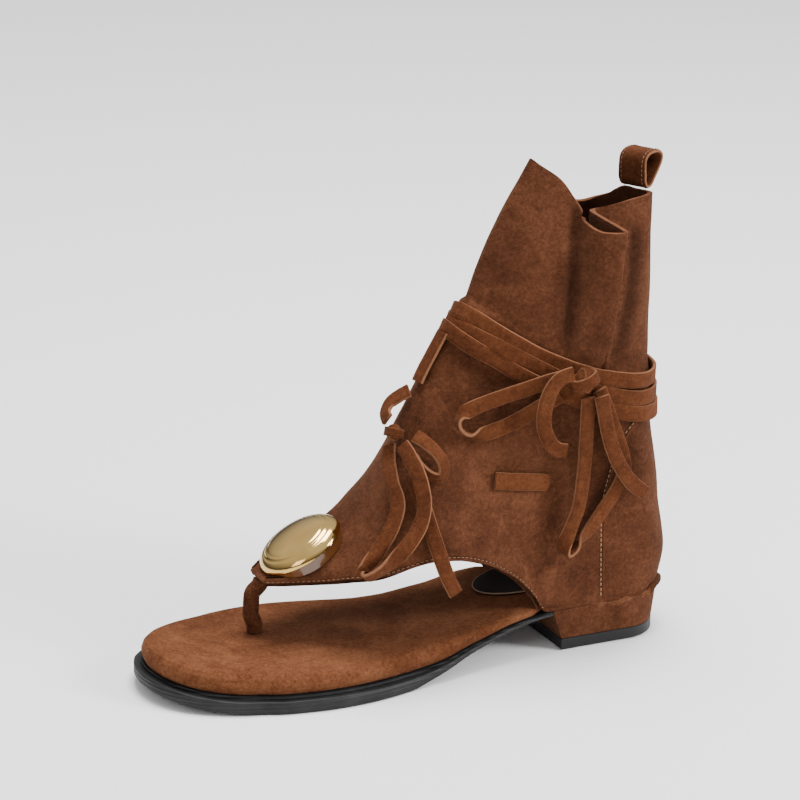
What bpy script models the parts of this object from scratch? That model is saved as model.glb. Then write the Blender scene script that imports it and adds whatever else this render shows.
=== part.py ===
"""Ankle-high toe post sandal in suede for the left foot, with a low heel and tied straps.

Metres, +Z up. The shoe stands on z = 0, the toes point to -X and the outer side is -Y.
The origin is on the floor under the middle of the heel. Every table holds shares of the
sizes named above it, and each row of a table is one section or one fold.
"""
import math
from bisect import bisect_right

import bpy
import bmesh
from mathutils import Matrix, Vector

NAME = "toe_post_sandal"
MM = 0.001
GAP = 0.3 * MM

# Overall sizes
LENGTH = 243.5 * MM          # toe tip to the back of the heel seat
SEAT_BACK = 26 * MM          # back of the heel seat, measured from the origin
BALL_WIDTH = 93 * MM
HEEL_HEIGHT = 19.3 * MM      # floor to the heel seat
UPPER_HEIGHT = 196.7 * MM    # heel seat to the front peak of the collar
WALL = 2.2 * MM              # suede and lining together

# Sole
RUBBER = 7 * MM              # outsole under the ball of the foot
RUBBER_STEP = 1.6 * MM       # raised seat inside the ledge
LEDGE = 3.2 * MM
CHAMFER = 0.6 * MM
CUSHION = 9 * MM
TOE_SPRING = 5 * MM
TOE_ROUND = 0.2              # share of LENGTH rounded at the toe
HEEL_ROUND = 23 * MM
CUP_CLEARANCE = 1.0 * MM     # footbed to the inside of the heel cup
PAD_LENGTH = 78 * MM
PAD_WIDTH = 33 * MM
PAD_THICKNESS = 1.4 * MM
PAD_SHIFT = 2 * MM

# Heel
BREAST = -36 * MM            # front face of the heel block at the seat
LIFT_FRONT = -30.6 * MM
LIFT_BACK = 24 * MM
LIFT_HALF = 26.5 * MM
LIFT_HEIGHT = 5.2 * MM

# Toe post and ornament
POST_WIDTH = 7 * MM
POST_SIDES = 4               # faces of the tube in each quarter turn
POST_STEPS = 12
ORNAMENT_LENGTH = 39 * MM
ORNAMENT_WIDTH = 34 * MM
ORNAMENT_RISE = 7.5 * MM
ORNAMENT_SEAT = 2.6 * MM
ORNAMENT_FROM = 0.75          # sections of the upper under the two ends of the ornament
ORNAMENT_TO = 4.4
ORNAMENT_TILT = math.radians(6)   # steeper than the ridge below it
ORNAMENT_COUNT = 28
SEAT_SHARE = 0.94            # seat's outline against the dome's
CUTTER_ROWS = 8              # sections of the upper that shape the seat's underside
CUTTER_REACH = 0.97
CUTTER_SPARE = 6 * MM

# Straps
STRAP_WIDTH = 6.8 * MM
STRAP = 1.7 * MM
LOOP_WIDTH = 13.5 * MM
LOOP_STRAP = 1.4 * MM
LOOP_HEIGHT = 14.8 * MM
LOOP_DEPTH = 13 * MM
LOOP_X = 12.6 * MM             # middle of the back wall's rim
LOOP_TURN = math.radians(28)
TAB_WIDTH = 7.5 * MM
TAB_POINT = (1.0, 1.0, 1.0, 1.0, 0.86, 0.3)   # widths along the tab

COUNT = 26                   # points along each side of a sole outline
SHARP = math.radians(40)
MERGE = 0.01 * MM
NUDGE = 0.02                 # step for the skin's slopes, in sections and places across
SHARE_DIGITS = 5             # rounding of a share, so that a section ends exactly on the back line

# Footbed's rolled edge: inset and height as shares of CUSHION and of the footbed's own height
BED_ROLL = ((0.14, 0.0), (0.03, 0.22), (0.0, 0.45), (0.08, 0.74), (0.24, 0.93), (0.5, 1.0))
CUP_RUN = 6 * MM             # length over which the footbed narrows into the heel cup
PAD_MARGIN = 4 * MM

# Sole sections. along is the share of LENGTH in front of the heel seat's back, outer and inner are
# shares of BALL_WIDTH, rise of HEEL_HEIGHT, and spring, rubber, cushion and ledge of their own sizes.
SOLE_COLUMNS = ("along", "outer", "inner", "rise", "spring", "rubber", "cushion", "ledge")
SOLE = (
    (0.000, 0.297, 0.297, 0.990, 0.00, 0.27, 0.60, 0.15),
    (0.107, 0.297, 0.297, 0.959, 0.00, 0.27, 0.55, 0.15),
    (0.189, 0.299, 0.299, 0.933, 0.00, 0.27, 0.52, 0.15),
    (0.255, 0.303, 0.303, 0.907, 0.00, 0.27, 0.50, 0.15),
    (0.312, 0.325, 0.325, 0.845, 0.00, 0.27, 0.50, 0.15),
    (0.349, 0.340, 0.333, 0.767, 0.00, 0.29, 0.52, 0.18),
    (0.390, 0.357, 0.333, 0.622, 0.00, 0.33, 0.58, 0.25),
    (0.435, 0.383, 0.339, 0.466, 0.00, 0.42, 0.70, 0.40),
    (0.480, 0.411, 0.349, 0.259, 0.00, 0.56, 0.90, 0.60),
    (0.522, 0.433, 0.369, 0.104, 0.00, 0.78, 0.99, 0.80),
    (0.563, 0.461, 0.401, 0.000, 0.00, 1.00, 1.00, 0.95),
    (0.608, 0.490, 0.435, 0.000, 0.00, 1.00, 1.00, 1.00),
    (0.649, 0.506, 0.462, 0.000, 0.00, 1.00, 1.00, 1.00),
    (0.690, 0.513, 0.482, 0.000, 0.00, 1.00, 1.00, 1.00),
    (0.723, 0.511, 0.489, 0.000, 0.00, 1.00, 1.00, 1.00),
    (0.764, 0.498, 0.486, 0.000, 0.00, 1.00, 1.00, 1.00),
    (0.800, 0.482, 0.475, 0.000, 0.00, 1.00, 1.00, 1.00),
    (0.846, 0.453, 0.456, 0.000, 0.05, 1.00, 1.00, 1.00),
    (0.900, 0.452, 0.456, 0.000, 0.22, 1.00, 1.00, 1.00),
    (0.960, 0.462, 0.462, 0.000, 0.60, 1.00, 1.00, 1.00),
    (1.000, 0.470, 0.470, 0.000, 1.00, 1.00, 1.00, 1.00),
)

# Upper sections, from the vamp tip to above the ankle straps. Each runs in side view from the ridge
# to the lower edge or the back. x is a share of LENGTH from the seat's back, z of UPPER_HEIGHT over
# the seat, half and shift of BALL_WIDTH. bulk is the roundness at the ridge, and reach the part of
# the section where it grows to its full width.
UPPER_COLUMNS = ("ridge_x", "ridge_z", "edge_x", "edge_z", "half", "bulk", "reach", "shift")
UPPER = (
    (0.773, 0.127, 0.769, 0.118, 0.086, 3.00, 1.00, 0.054),
    (0.753, 0.133, 0.749, 0.122, 0.129, 3.00, 1.00, 0.054),
    (0.728, 0.143, 0.724, 0.126, 0.167, 3.00, 1.00, 0.047),
    (0.687, 0.163, 0.686, 0.132, 0.216, 2.90, 1.00, 0.031),
    (0.638, 0.192, 0.649, 0.146, 0.286, 2.70, 1.00, 0.009),
    (0.592, 0.232, 0.604, 0.156, 0.342, 2.40, 1.00, -0.013),
    (0.566, 0.292, 0.559, 0.169, 0.354, 2.20, 1.00, -0.026),
    (0.545, 0.343, 0.513, 0.178, 0.354, 2.10, 1.00, -0.033),
    (0.527, 0.395, 0.460, 0.171, 0.346, 2.05, 1.00, -0.032),
    (0.513, 0.447, 0.407, 0.151, 0.326, 2.00, 1.00, -0.031),
    (0.497, 0.487, 0.361, 0.120, 0.312, 2.00, 0.96, -0.025),
    (0.485, 0.513, 0.324, 0.085, 0.307, 2.00, 0.92, -0.017),
    (0.475, 0.535, 0.294, 0.044, 0.305, 1.95, 0.88, -0.009),
    (0.468, 0.548, 0.269, 0.004, 0.305, 1.95, 0.85, 0.000),
    (0.463, 0.563, 0.197, 0.002, 0.301, 1.95, 0.80, 0.000),
    (0.455, 0.578, 0.123, 0.002, 0.299, 1.95, 0.75, 0.000),
    (0.447, 0.593, 0.066, 0.002, 0.298, 1.95, 0.72, 0.000),
    (0.441, 0.603, 0.033, 0.002, 0.298, 1.95, 0.70, 0.000),
    (0.433, 0.614, 0.010, 0.002, 0.299, 1.95, 0.68, 0.000),
    (0.427, 0.624, 0.000, 0.007, 0.301, 1.95, 0.66, 0.000),
    (0.421, 0.634, -0.009, 0.054, 0.306, 1.95, 0.64, 0.000),
    (0.416, 0.644, -0.013, 0.095, 0.312, 1.95, 0.63, 0.000),
    (0.410, 0.654, -0.008, 0.146, 0.312, 1.90, 0.62, 0.000),
    (0.406, 0.664, 0.001, 0.207, 0.312, 1.90, 0.61, 0.000),
    (0.402, 0.675, 0.011, 0.298, 0.312, 1.85, 0.60, 0.000),
    (0.397, 0.685, 0.023, 0.380, 0.316, 1.85, 0.60, 0.000),
    (0.392, 0.695, 0.030, 0.451, 0.323, 1.80, 0.60, 0.000),
    (0.383, 0.710, 0.033, 0.532, 0.333, 1.80, 0.60, 0.000),
)
CORNER = 13                  # section that ends on the heel seat's front corner
FIRST_CLOSED = 19            # first section that reaches the back of the heel
ANKLE = 26                   # last section below the folded shaft

# Folds of the shaft, from the back round the outer side to the ridge and back along the inner side.
# t is the place on a section of UPPER, ankle and collar are the ends of each fold line: x and z as
# in UPPER, y a share of BALL_WIDTH.
FOLD_COLUMNS = ("t", "ankle_x", "ankle_y", "ankle_z", "collar_x", "collar_y", "collar_z")
FOLDS = (
    (1.000, 0.033, 0.000, 0.532, 0.053, 0.000, 0.908),
    (0.955, 0.044, -0.118, 0.535, 0.040, -0.081, 0.908),
    (0.870, 0.074, -0.220, 0.542, 0.057, -0.134, 0.908),
    (0.760, 0.119, -0.274, 0.553, 0.094, -0.140, 0.903),
    (0.700, 0.160, -0.280, 0.565, 0.127, -0.118, 0.893),
    (0.660, 0.185, -0.258, 0.573, 0.156, -0.091, 0.883),
    (0.635, 0.179, -0.296, 0.570, 0.158, -0.215, 0.878),
    (0.610, 0.166, -0.328, 0.568, 0.148, -0.376, 0.865),
    (0.520, 0.205, -0.328, 0.588, 0.189, -0.323, 0.863),
    (0.420, 0.246, -0.304, 0.621, 0.206, -0.225, 0.880),
    (0.380, 0.263, -0.288, 0.634, 0.207, -0.205, 0.902),
    (0.190, 0.328, -0.204, 0.667, 0.230, -0.140, 0.960),
    (0.055, 0.365, -0.091, 0.692, 0.258, -0.052, 0.990),
    (0.000, 0.384, 0.000, 0.705, 0.267, 0.000, 1.000),
    (0.055, 0.365, 0.091, 0.692, 0.257, 0.059, 0.987),
    (0.190, 0.328, 0.204, 0.667, 0.234, 0.124, 0.959),
    (0.390, 0.255, 0.296, 0.629, 0.197, 0.183, 0.914),
    (0.550, 0.189, 0.323, 0.583, 0.160, 0.215, 0.878),
    (0.680, 0.140, 0.312, 0.558, 0.123, 0.220, 0.865),
    (0.790, 0.094, 0.274, 0.548, 0.094, 0.199, 0.873),
    (0.880, 0.064, 0.204, 0.540, 0.077, 0.140, 0.886),
    (0.955, 0.044, 0.113, 0.535, 0.065, 0.070, 0.908),
)
RIDGE_FOLD = 13              # row of FOLDS on the front ridge
FOLD_STEPS = 2               # columns of the mesh between two folds
SHAFT_ROWS = (0.0, 0.16, 0.36, 0.6, 0.82, 1.0)
FRONT_BELLY = 0.010          # bow of the shaft's ridge, share of LENGTH

# Ankle bands: height of the band's middle at the front ridge and at the back, as shares of
# UPPER_HEIGHT over the seat, and how far the band stands out as a share of STRAP.
BAND_COLUMNS = ("front", "back", "out")
BANDS = (
    (0.678, 0.512, 0.0),
    (0.656, 0.471, 0.25),
    (0.633, 0.432, 0.5),
)
BAND_FROM = 20               # sections of UPPER between which the bands lie
BAND_COUNT = 40              # points round one band


# Pull loop's outline: across the loop as a share of LOOP_DEPTH, and up as a share of LOOP_HEIGHT.
LOOP_COLUMNS = ("across", "up")
LOOP = (
    (0.000, 0.000), (0.150, 0.040), (0.330, 0.200), (0.560, 0.420), (0.730, 0.640), (0.730, 0.860),
    (0.500, 0.990), (0.040, 0.990), (-0.200, 0.860), (-0.250, 0.640), (-0.240, 0.420),
    (-0.220, 0.200), (-0.120, 0.040),
)

# Hand-placed routes in millimetres, with the direction that the flat of the strap looks to.
POST_ROUTE = ((-161.3, 9.0), (-161.3, 9.0), (-163.6, 8.0), (-163.6, 7.0), (-160.2, 5.5), (-159.9, 5.4))
POST_LEVELS = (0.0, 0.08, 0.4, 0.72, 0.94, 1.0)
POST_TOP = 41.2 * MM
TAB_ROUTE = ((-65.1, -25.5, 83.0), (-59.5, -26.2, 82.2), (-52.0, -26.7, 81.1), (-45.5, -27.0, 80.2),
             (-42.0, -27.2, 79.6), (-39.8, -27.3, 79.2))
TAB_FACE = (-0.05, -0.99, 0.1)
RISER_ROUTE = ((-79.4, -1.5, 144.2), (-84.8, -2.0, 135.5), (-88.9, -2.5, 129.0), (-91.8, -3.0, 123.8))
RISER_FACE = (-0.85, -0.2, 0.5)

# Knots: middle and half sizes in millimetres.
KNOTS = {
    "ankle_knot": ((-28.6, -35.6, 126.4), (6.5, 4.7, 5.8)),
    "instep_knot": ((-104.6, -7.6, 104.2), (3.6, 6.0, 3.6)),
}

# Loops and ends of the two bows: the flat's direction at the knot, along the far part and at the
# turn of a loop, then the points in millimetres. Without the second direction the flat looks
# outward all round the loop, leaning to the first.
CORDS = {
    "instep_tie": ((-0.85, -0.2, 0.5), (-0.9, -0.1, 0.3), None, (
        (-94.8, -1.5, 120.0), (-98.4, 0.5, 117.4), (-102.4, 1.8, 114.2), (-105.2, -0.1, 111.0),
        (-106.0, -3.8, 109.0))),
    "ankle_loop_left": ((-0.25, -0.97, 0.0), (-0.2, -0.95, 0.25), (-0.9, 0.1, -0.35), (
        (-37.9, -32.9, 128.0), (-43.4, -31.0, 126.6), (-50.5, -28.4, 123.9), (-62.3, -24.4, 119.8),
        (-73.1, -22.9, 116.6), (-79.8, -22.6, 113.7), (-82.2, -22.9, 110.0), (-80.0, -23.6, 106.4),
        (-75.0, -24.0, 104.6), (-67.5, -24.6, 104.9), (-55.9, -26.2, 109.0), (-45.5, -28.6, 114.9),
        (-37.5, -30.9, 119.4))),
    "ankle_curl": ((-0.25, -0.97, 0.0), (-0.25, -0.97, -0.05), None, (
        (-35.8, -38.4, 131.2), (-41.6, -37.8, 129.4), (-45.4, -36.6, 124.0), (-47.4, -35.6, 116.0),
        (-47.4, -35.2, 108.5), (-45.0, -35.4, 101.5), (-41.2, -35.9, 97.4), (-37.0, -36.9, 96.4))),
    "ankle_loop_down": ((-0.1, -0.99, 0.0), (0.0, -1.0, 0.0), (-0.5, 0.0, -0.85), (
        (-21.0, -34.6, 121.0), (-18.0, -34.2, 115.0), (-13.3, -33.9, 103.9), (-8.3, -33.9, 90.6),
        (-6.7, -33.7, 82.5), (-9.8, -33.2, 74.4), (-15.9, -32.2, 64.8), (-22.9, -32.0, 56.0),
        (-29.3, -32.2, 49.6), (-34.2, -33.4, 48.2), (-35.4, -35.0, 53.0), (-32.8, -35.6, 60.9),
        (-29.4, -35.6, 70.4), (-27.6, -35.6, 85.5), (-27.2, -35.9, 99.3), (-27.2, -36.4, 110.7),
        (-27.4, -36.8, 119.0))),
    "ankle_end": ((-0.1, -0.99, 0.0), (0.0, -1.0, 0.0), None, (
        (-22.6, -39.8, 119.8), (-21.0, -39.4, 113.4), (-18.1, -38.9, 102.1), (-13.7, -38.7, 90.5),
        (-5.8, -37.4, 78.8), (3.1, -35.6, 71.3))),
    "instep_loop_long": ((-0.85, -0.3, 0.45), (-0.45, -0.75, 0.5), (-0.4, -0.4, -0.8), (
        (-106.2, -6.6, 98.4), (-108.6, -11.5, 93.2), (-111.4, -21.0, 86.4), (-112.6, -29.5, 79.9),
        (-117.6, -33.6, 71.0), (-124.6, -35.2, 62.4), (-130.4, -36.0, 56.4), (-131.2, -38.6, 53.2),
        (-126.0, -41.6, 56.4), (-117.6, -42.4, 62.9), (-109.3, -41.4, 71.2), (-104.4, -38.0, 80.6),
        (-103.8, -32.4, 90.6), (-105.2, -25.6, 98.4), (-106.0, -19.0, 102.4))),
    "instep_loop_short": ((-0.3, -0.6, 0.3), None, None, (
        (-100.7, -19.8, 106.0), (-98.3, -22.6, 104.6), (-93.9, -26.6, 100.1), (-91.1, -28.7, 94.3),
        (-92.5, -29.5, 89.5), (-96.8, -27.5, 89.9), (-100.5, -24.1, 93.9), (-102.3, -21.5, 97.5))),
    "instep_end": ((-0.75, -0.45, 0.5), (0.05, -0.99, 0.15), None, (
        (-102.7, -24.6, 88.2), (-102.0, -29.4, 81.9), (-100.9, -34.9, 73.1),
        (-98.4, -39.6, 61.0), (-95.0, -42.2, 49.6), (-91.4, -43.4, 41.8))),
}
LOOP_TURN_FROM = 0.72        # share of a loop's reach where its strap starts to turn on edge


def smooth(xs, ys, x):
    """Value at x of a smooth curve through the points, which never swings past them."""
    if x <= xs[0]:
        return ys[0]
    if x >= xs[-1]:
        return ys[-1]
    steps = [b - a for a, b in zip(xs, xs[1:])]
    grades = [(b - a) / step for a, b, step in zip(ys, ys[1:], steps)]

    def slope(i):
        if i == 0 or i == len(xs) - 1:
            return grades[min(i, len(grades) - 1)]
        before, after = grades[i - 1], grades[i]
        if before * after <= 0:
            return 0.0
        return 2 * before * after / (before + after)

    k = bisect_right(xs, x) - 1
    t = (x - xs[k]) / steps[k]
    rise = ys[k + 1] - ys[k]
    left, right = slope(k) * steps[k], slope(k + 1) * steps[k]
    return ys[k] + t * (left + t * (3 * rise - 2 * left - right + t * (left + right - 2 * rise)))


def column(table, columns, name):
    """All values of one named column."""
    return [row[columns.index(name)] for row in table]


def sole(name, along):
    """Smooth value of a column of SOLE."""
    return smooth(column(SOLE, SOLE_COLUMNS, "along"), column(SOLE, SOLE_COLUMNS, name), along)


def upper_value(name, row):
    """Smooth value of a column of UPPER, at a whole or broken section number."""
    return smooth(list(range(len(UPPER))), column(UPPER, UPPER_COLUMNS, name), row)


def place_x(share):
    return SEAT_BACK - share * LENGTH


def place_z(share):
    return HEEL_HEIGHT + share * UPPER_HEIGHT


def along_of(x):
    return (SEAT_BACK - x) / LENGTH


def under_z(x):
    """Underside of the outsole."""
    along = along_of(x)
    return sole("rise", along) * HEEL_HEIGHT + sole("spring", along) * TOE_SPRING


def support_z(x):
    """Top of the outsole, and of the heel block behind it."""
    return under_z(x) + sole("rubber", along_of(x)) * RUBBER


def bed_z(x):
    """Top of the footbed."""
    return support_z(x) + sole("cushion", along_of(x)) * CUSHION


def heel_rounding(x, back):
    """Share of the full width that is left at x where the heel rounds off to its back."""
    share = min(max((x - back + HEEL_ROUND) / HEEL_ROUND, 0.0), 1.0)
    return math.sqrt(1 - round(share, SHARE_DIGITS) ** 2)


def sole_half(side, x):
    """Half width of the sole's outline on one side."""
    along = along_of(x)
    half = sole("outer" if side < 0 else "inner", along) * BALL_WIDTH
    toe = min(max((along - 1 + TOE_ROUND) / TOE_ROUND, 0.0), 1.0)
    return half * math.sqrt(1 - toe * toe) * heel_rounding(x, SEAT_BACK)


def outline(half, start, end, inset, height):
    """Ring of points from the heel along the outer side to the toes and back along the inner side.

    half(side, x) is the half width, inset(x) the distance inwards and height(x) the level.
    An end where the width is zero is one point, and any other end is straight across.
    """
    round_start, round_end = half(-1, start) < GAP, half(-1, end) < GAP
    if round_start and round_end:
        shares = [(1 - math.cos(math.pi * i / COUNT)) / 2 for i in range(COUNT + 1)]
    elif round_start:
        shares = [1 - math.cos(math.pi / 2 * i / COUNT) for i in range(COUNT + 1)]
    else:
        shares = [math.sin(math.pi / 2 * i / COUNT) for i in range(COUNT + 1)]
    stations = [start + (end - start) * share for share in shares]
    near = [Vector((x, -half(-1, x))) for x in stations]
    far = [Vector((x, half(1, x))) for x in reversed(stations)]
    ring = near + far[1 if round_end else 0:len(far) - 1 if round_start else len(far)]
    straight = [] if round_start else [0, len(ring) - 1]
    straight += [] if round_end else [COUNT, COUNT + 1]
    moved = []
    for i, point in enumerate(ring):
        before, after = ring[i - 1], ring[(i + 1) % len(ring)]
        if i in straight:
            side_neighbour = after if i in (0, COUNT + 1) else before
            before, after = (point, after) if side_neighbour is after else (before, point)
        way = (after - before).normalized()
        shifted = point + Vector((way.y, -way.x)) * inset(point.x)
        x = point.x if i in straight else shifted.x
        moved.append(Vector((x, shifted.y, height(x))))
    return moved


def add_object(name, bm, material, collection):
    """Object from a finished bmesh, shaded smooth between its sharp edges."""
    bmesh.ops.recalc_face_normals(bm, faces=bm.faces)
    mesh = bpy.data.meshes.new(name)
    bm.to_mesh(mesh)
    bm.free()
    mesh.shade_smooth()
    mesh.set_sharp_from_angle(angle=SHARP)
    item = bpy.data.objects.new(name, mesh)
    item.data.materials.append(material)
    collection.objects.link(item)
    return item


def walls(bm, rings):
    """Faces between equal closed rings of points. Gives the vertices of each ring."""
    levels = [[bm.verts.new(point) for point in ring] for ring in rings]
    for low, high in zip(levels, levels[1:]):
        for i in range(len(low)):
            j = (i + 1) % len(low)
            bm.faces.new((low[i], low[j], high[j], high[i]))
    return levels


def slab(name, rings, round_start, material, collection):
    """Solid through outlines one above another, closed across from side to side."""
    bm = bmesh.new()
    levels = walls(bm, rings)
    count = len(rings[0])
    shift = 0 if round_start else -1
    for level in (levels[0], levels[-1]):
        for i in range(COUNT):
            corners = (level[i], level[i + 1], level[(count + shift - i - 1) % count],
                       level[(count + shift - i) % count])
            bm.faces.new(list(dict.fromkeys(corners)))
    return add_object(name, bm, material, collection)


def outsole(material, collection):
    """Rubber sole with a chamfered tread edge, a ledge and a raised seat for the footbed."""
    def share(name, x):
        return sole(name, along_of(x))

    def ledge(x):
        return share("ledge", x) * LEDGE

    def ledge_z(x):
        return support_z(x) - share("rubber", x) * RUBBER_STEP

    steps = (
        (lambda x: CHAMFER, under_z),
        (lambda x: 0.0, lambda x: under_z(x) + CHAMFER * share("rubber", x)),
        (lambda x: 0.0, ledge_z),
        (ledge, ledge_z),
        (ledge, support_z),
    )
    rings = [outline(sole_half, BREAST, place_x(1), inset, height) for inset, height in steps]
    return slab("outsole", rings, False, material, collection)


def footbed_inset(x):
    """From the sole's outline to the footbed's side: the ledge, and behind the corner the cup's wall."""
    cup = WALL + GAP + CUP_CLEARANCE
    corner = place_x(upper_value("edge_x", CORNER))
    share = min(max((x - corner) / CUP_RUN + 1, 0.0), 1.0)
    open_inset = sole("ledge", along_of(x)) * LEDGE
    return open_inset + (cup - open_inset) * share


def footbed(material, collection):
    """Cushioned board with a rolled edge, full length."""
    rings = []
    for roll, level in BED_ROLL:
        rings.append(outline(
            sole_half, SEAT_BACK, place_x(1),
            lambda x, roll=roll: footbed_inset(x) + roll * CUSHION,
            lambda x, level=level: support_z(x) + GAP + level * (bed_z(x) - support_z(x) - GAP)))
    return slab("footbed", rings, True, material, collection)


def insole_pad(material, collection):
    """Inset pad on the heel seat, round at both ends."""
    back = SEAT_BACK - WALL - CUP_CLEARANCE - PAD_MARGIN
    middle = back - PAD_LENGTH / 2

    def half(side, x):
        share = min(abs(x - middle) / (PAD_LENGTH / 2), 1.0)
        return PAD_WIDTH / 2 * math.sqrt(1 - share ** 3)

    rings = []
    for inset, level in ((0.0, 0.0), (0.0, 0.6), (PAD_THICKNESS / 2, 1.0)):
        ring = outline(half, back, back - PAD_LENGTH, lambda x, inset=inset: inset,
                       lambda x, level=level: bed_z(x) + GAP + level * PAD_THICKNESS)
        rings.append([point + Vector((0, PAD_SHIFT, 0)) for point in ring])
    return slab("insole_pad", rings, True, material, collection)


def heel_ring(level):
    """Outline of the heel at a level from 0, at the top lift, to 1, at the heel seat."""
    seat = outline(sole_half, SEAT_BACK, BREAST, lambda x: 0.0, support_z)
    along = (LIFT_BACK - LIFT_FRONT) / (SEAT_BACK - BREAST)
    across = LIFT_HALF / sole_half(-1, BREAST)
    foot = [Vector((LIFT_FRONT + (p.x - BREAST) * along, p.y * across, LIFT_HEIGHT + GAP)) for p in seat]
    return [low.lerp(high, level) for low, high in zip(foot, seat)]


def heel_block(material, collection):
    """Low wrapped block that tapers to the lift."""
    rings = [heel_ring(level) for level in (0.0, 0.33, 0.67, 1.0)]
    return slab("heel_block", rings, True, material, collection)


def top_lift(material, collection):
    """Rubber lift the heel stands on."""
    base = heel_ring(0.0)
    middle = Vector(((LIFT_FRONT + LIFT_BACK) / 2, 0, 0))
    inner = [middle + (p - middle) * (1 - CHAMFER / LIFT_HALF) for p in base]
    rings = [
        [Vector((p.x, p.y, 0)) for p in inner],
        [Vector((p.x, p.y, CHAMFER)) for p in base],
        [Vector((p.x, p.y, LIFT_HEIGHT)) for p in base],
    ]
    return slab("top_lift", rings, True, material, collection)


def heel_back(z):
    """Back of the heel cup and of the ankle at a height."""
    heights = [place_z(share) for share in column(UPPER, UPPER_COLUMNS, "edge_z")[FIRST_CLOSED:]]
    places = [place_x(share) for share in column(UPPER, UPPER_COLUMNS, "edge_x")[FIRST_CLOSED:]]
    return smooth(heights, places, z)


def skin(row, across):
    """Point of the upper's outer face below the folded shaft.

    row counts the sections of UPPER, broken numbers lie between two of them. across runs from the
    outer edge, -1, over the ridge, 0, to the inner edge, 1.
    """
    t = abs(across)
    ridge = Vector((place_x(upper_value("ridge_x", row)), 0, place_z(upper_value("ridge_z", row))))
    edge = Vector((place_x(upper_value("edge_x", row)), 0, place_z(upper_value("edge_z", row))))
    point = ridge.lerp(edge, t)
    bulk = upper_value("bulk", row)
    spread = 1 - min(t / upper_value("reach", row), 1.0)
    front = (1 - spread ** bulk) ** (1 / bulk)
    half = upper_value("half", row) * BALL_WIDTH * front * heel_rounding(point.x, heel_back(point.z))
    point.y = upper_value("shift", row) * BALL_WIDTH + math.copysign(half, across)
    point.z = max(point.z, support_z(point.x) + GAP)
    return point


def skin_frame(row, across):
    """Point and outward normal of the upper's outer face."""
    def around(place):
        if row >= FIRST_CLOSED and abs(place) > 1:
            place -= math.copysign(2, place)
        return skin(row, min(max(place, -1.0), 1.0))

    side = around(across + NUDGE) - around(across - NUDGE)
    up = skin(row + NUDGE, across) - skin(row - NUDGE, across)
    normal = up.cross(side)
    return skin(row, across), normal.normalized()


def on_skin(across, z, lift):
    """Point and normal over the ankle at a height, at a distance from the skin."""
    low, high = float(BAND_FROM), float(len(UPPER) - 1)
    for _ in range(24):
        middle = (low + high) / 2
        if skin(middle, across).z < z:
            low = middle
        else:
            high = middle
    point, normal = skin_frame(low, across)
    return point + normal * lift, normal


def blend_rows(points, steps, closed):
    """Smooth run of vectors through the given ones, with a number of steps between two of them."""
    count = len(points)
    run = []
    for i in range(count if closed else count - 1):
        a, b, c, d = (points[j % count] if closed else points[min(max(j, 0), count - 1)]
                      for j in (i - 1, i, i + 1, i + 2))
        for step in range(steps):
            t = step / steps
            run.append(b + (c - a) * (t / 2) + (a * 2 - b * 5 + c * 4 - d) * (t * t / 2)
                       + (b * 3 - a - c * 3 + d) * (t ** 3 / 2))
    if not closed:
        run.append(points[-1].copy())
    return run


def fold_places():
    """Places across the skin for each column of the upper's mesh, outer back to inner back."""
    shares = column(FOLDS, FOLD_COLUMNS, "t")
    folds = [-share for share in shares[:RIDGE_FOLD]] + shares[RIDGE_FOLD:] + [1.0]
    count = (len(folds) - 1) * FOLD_STEPS
    return [smooth(list(range(len(folds))), folds, i / FOLD_STEPS) for i in range(count + 1)]


def shaft_ring(level):
    """Ring of the folded shaft from the ankle, 0, to the collar, 1."""
    folds = []
    for t, ankle_x, ankle_y, ankle_z, collar_x, collar_y, collar_z in FOLDS:
        ankle = Vector((place_x(ankle_x), ankle_y * BALL_WIDTH, place_z(ankle_z)))
        collar = Vector((place_x(collar_x), collar_y * BALL_WIDTH, place_z(collar_z)))
        point = ankle.lerp(collar, level)
        point.x -= FRONT_BELLY * LENGTH * math.sin(math.pi * level) * max(1 - 2 * t, 0.0)
        folds.append(point)
    ring = blend_rows(folds, FOLD_STEPS, True)
    return ring + [ring[0]]


def upper(material, collection):
    """One hollow shell: vamp strip, quarters, heel cup and folded shaft, open at the collar,
    at both sides and underneath."""
    places = fold_places()
    rows = [[skin(row, place) for place in places] for row in range(ANKLE + 1)]
    rows += [shaft_ring(level) for level in SHAFT_ROWS]
    bm = bmesh.new()
    grid = [[bm.verts.new(point) for point in row] for row in rows]
    for low, high in zip(grid, grid[1:]):
        for i in range(len(low) - 1):
            bm.faces.new((low[i], high[i], high[i + 1], low[i + 1]))
    bmesh.ops.remove_doubles(bm, verts=bm.verts, dist=MERGE)
    item = add_object("upper", bm, material, collection)
    shell = item.modifiers.new("wall", "SOLIDIFY")
    shell.thickness = WALL
    shell.offset = -1
    return item


def ribbon(name, points, normals, widths, thickness, closed, material, collection):
    """Flat strap along points, with its face turned to the normals and a width at each point."""
    rings = []
    count = len(points)
    for i, (point, normal, width) in enumerate(zip(points, normals, widths)):
        before = points[i - 1] if closed or i else point
        after = points[(i + 1) % count] if closed or i < count - 1 else point
        way = (after - before).normalized()
        side = way.cross(normal).normalized()
        face = side.cross(way)
        rings.append([point + side * (width / 2 * a) + face * (thickness / 2 * b)
                      for a, b in ((-1, -1), (1, -1), (1, 1), (-1, 1))])
    bm = bmesh.new()
    levels = walls(bm, rings + rings[:1] if closed else rings)
    if closed:
        bmesh.ops.remove_doubles(bm, verts=bm.verts, dist=MERGE)
    else:
        bm.faces.new(levels[0])
        bm.faces.new(levels[-1])
    return add_object(name, bm, material, collection)


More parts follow.
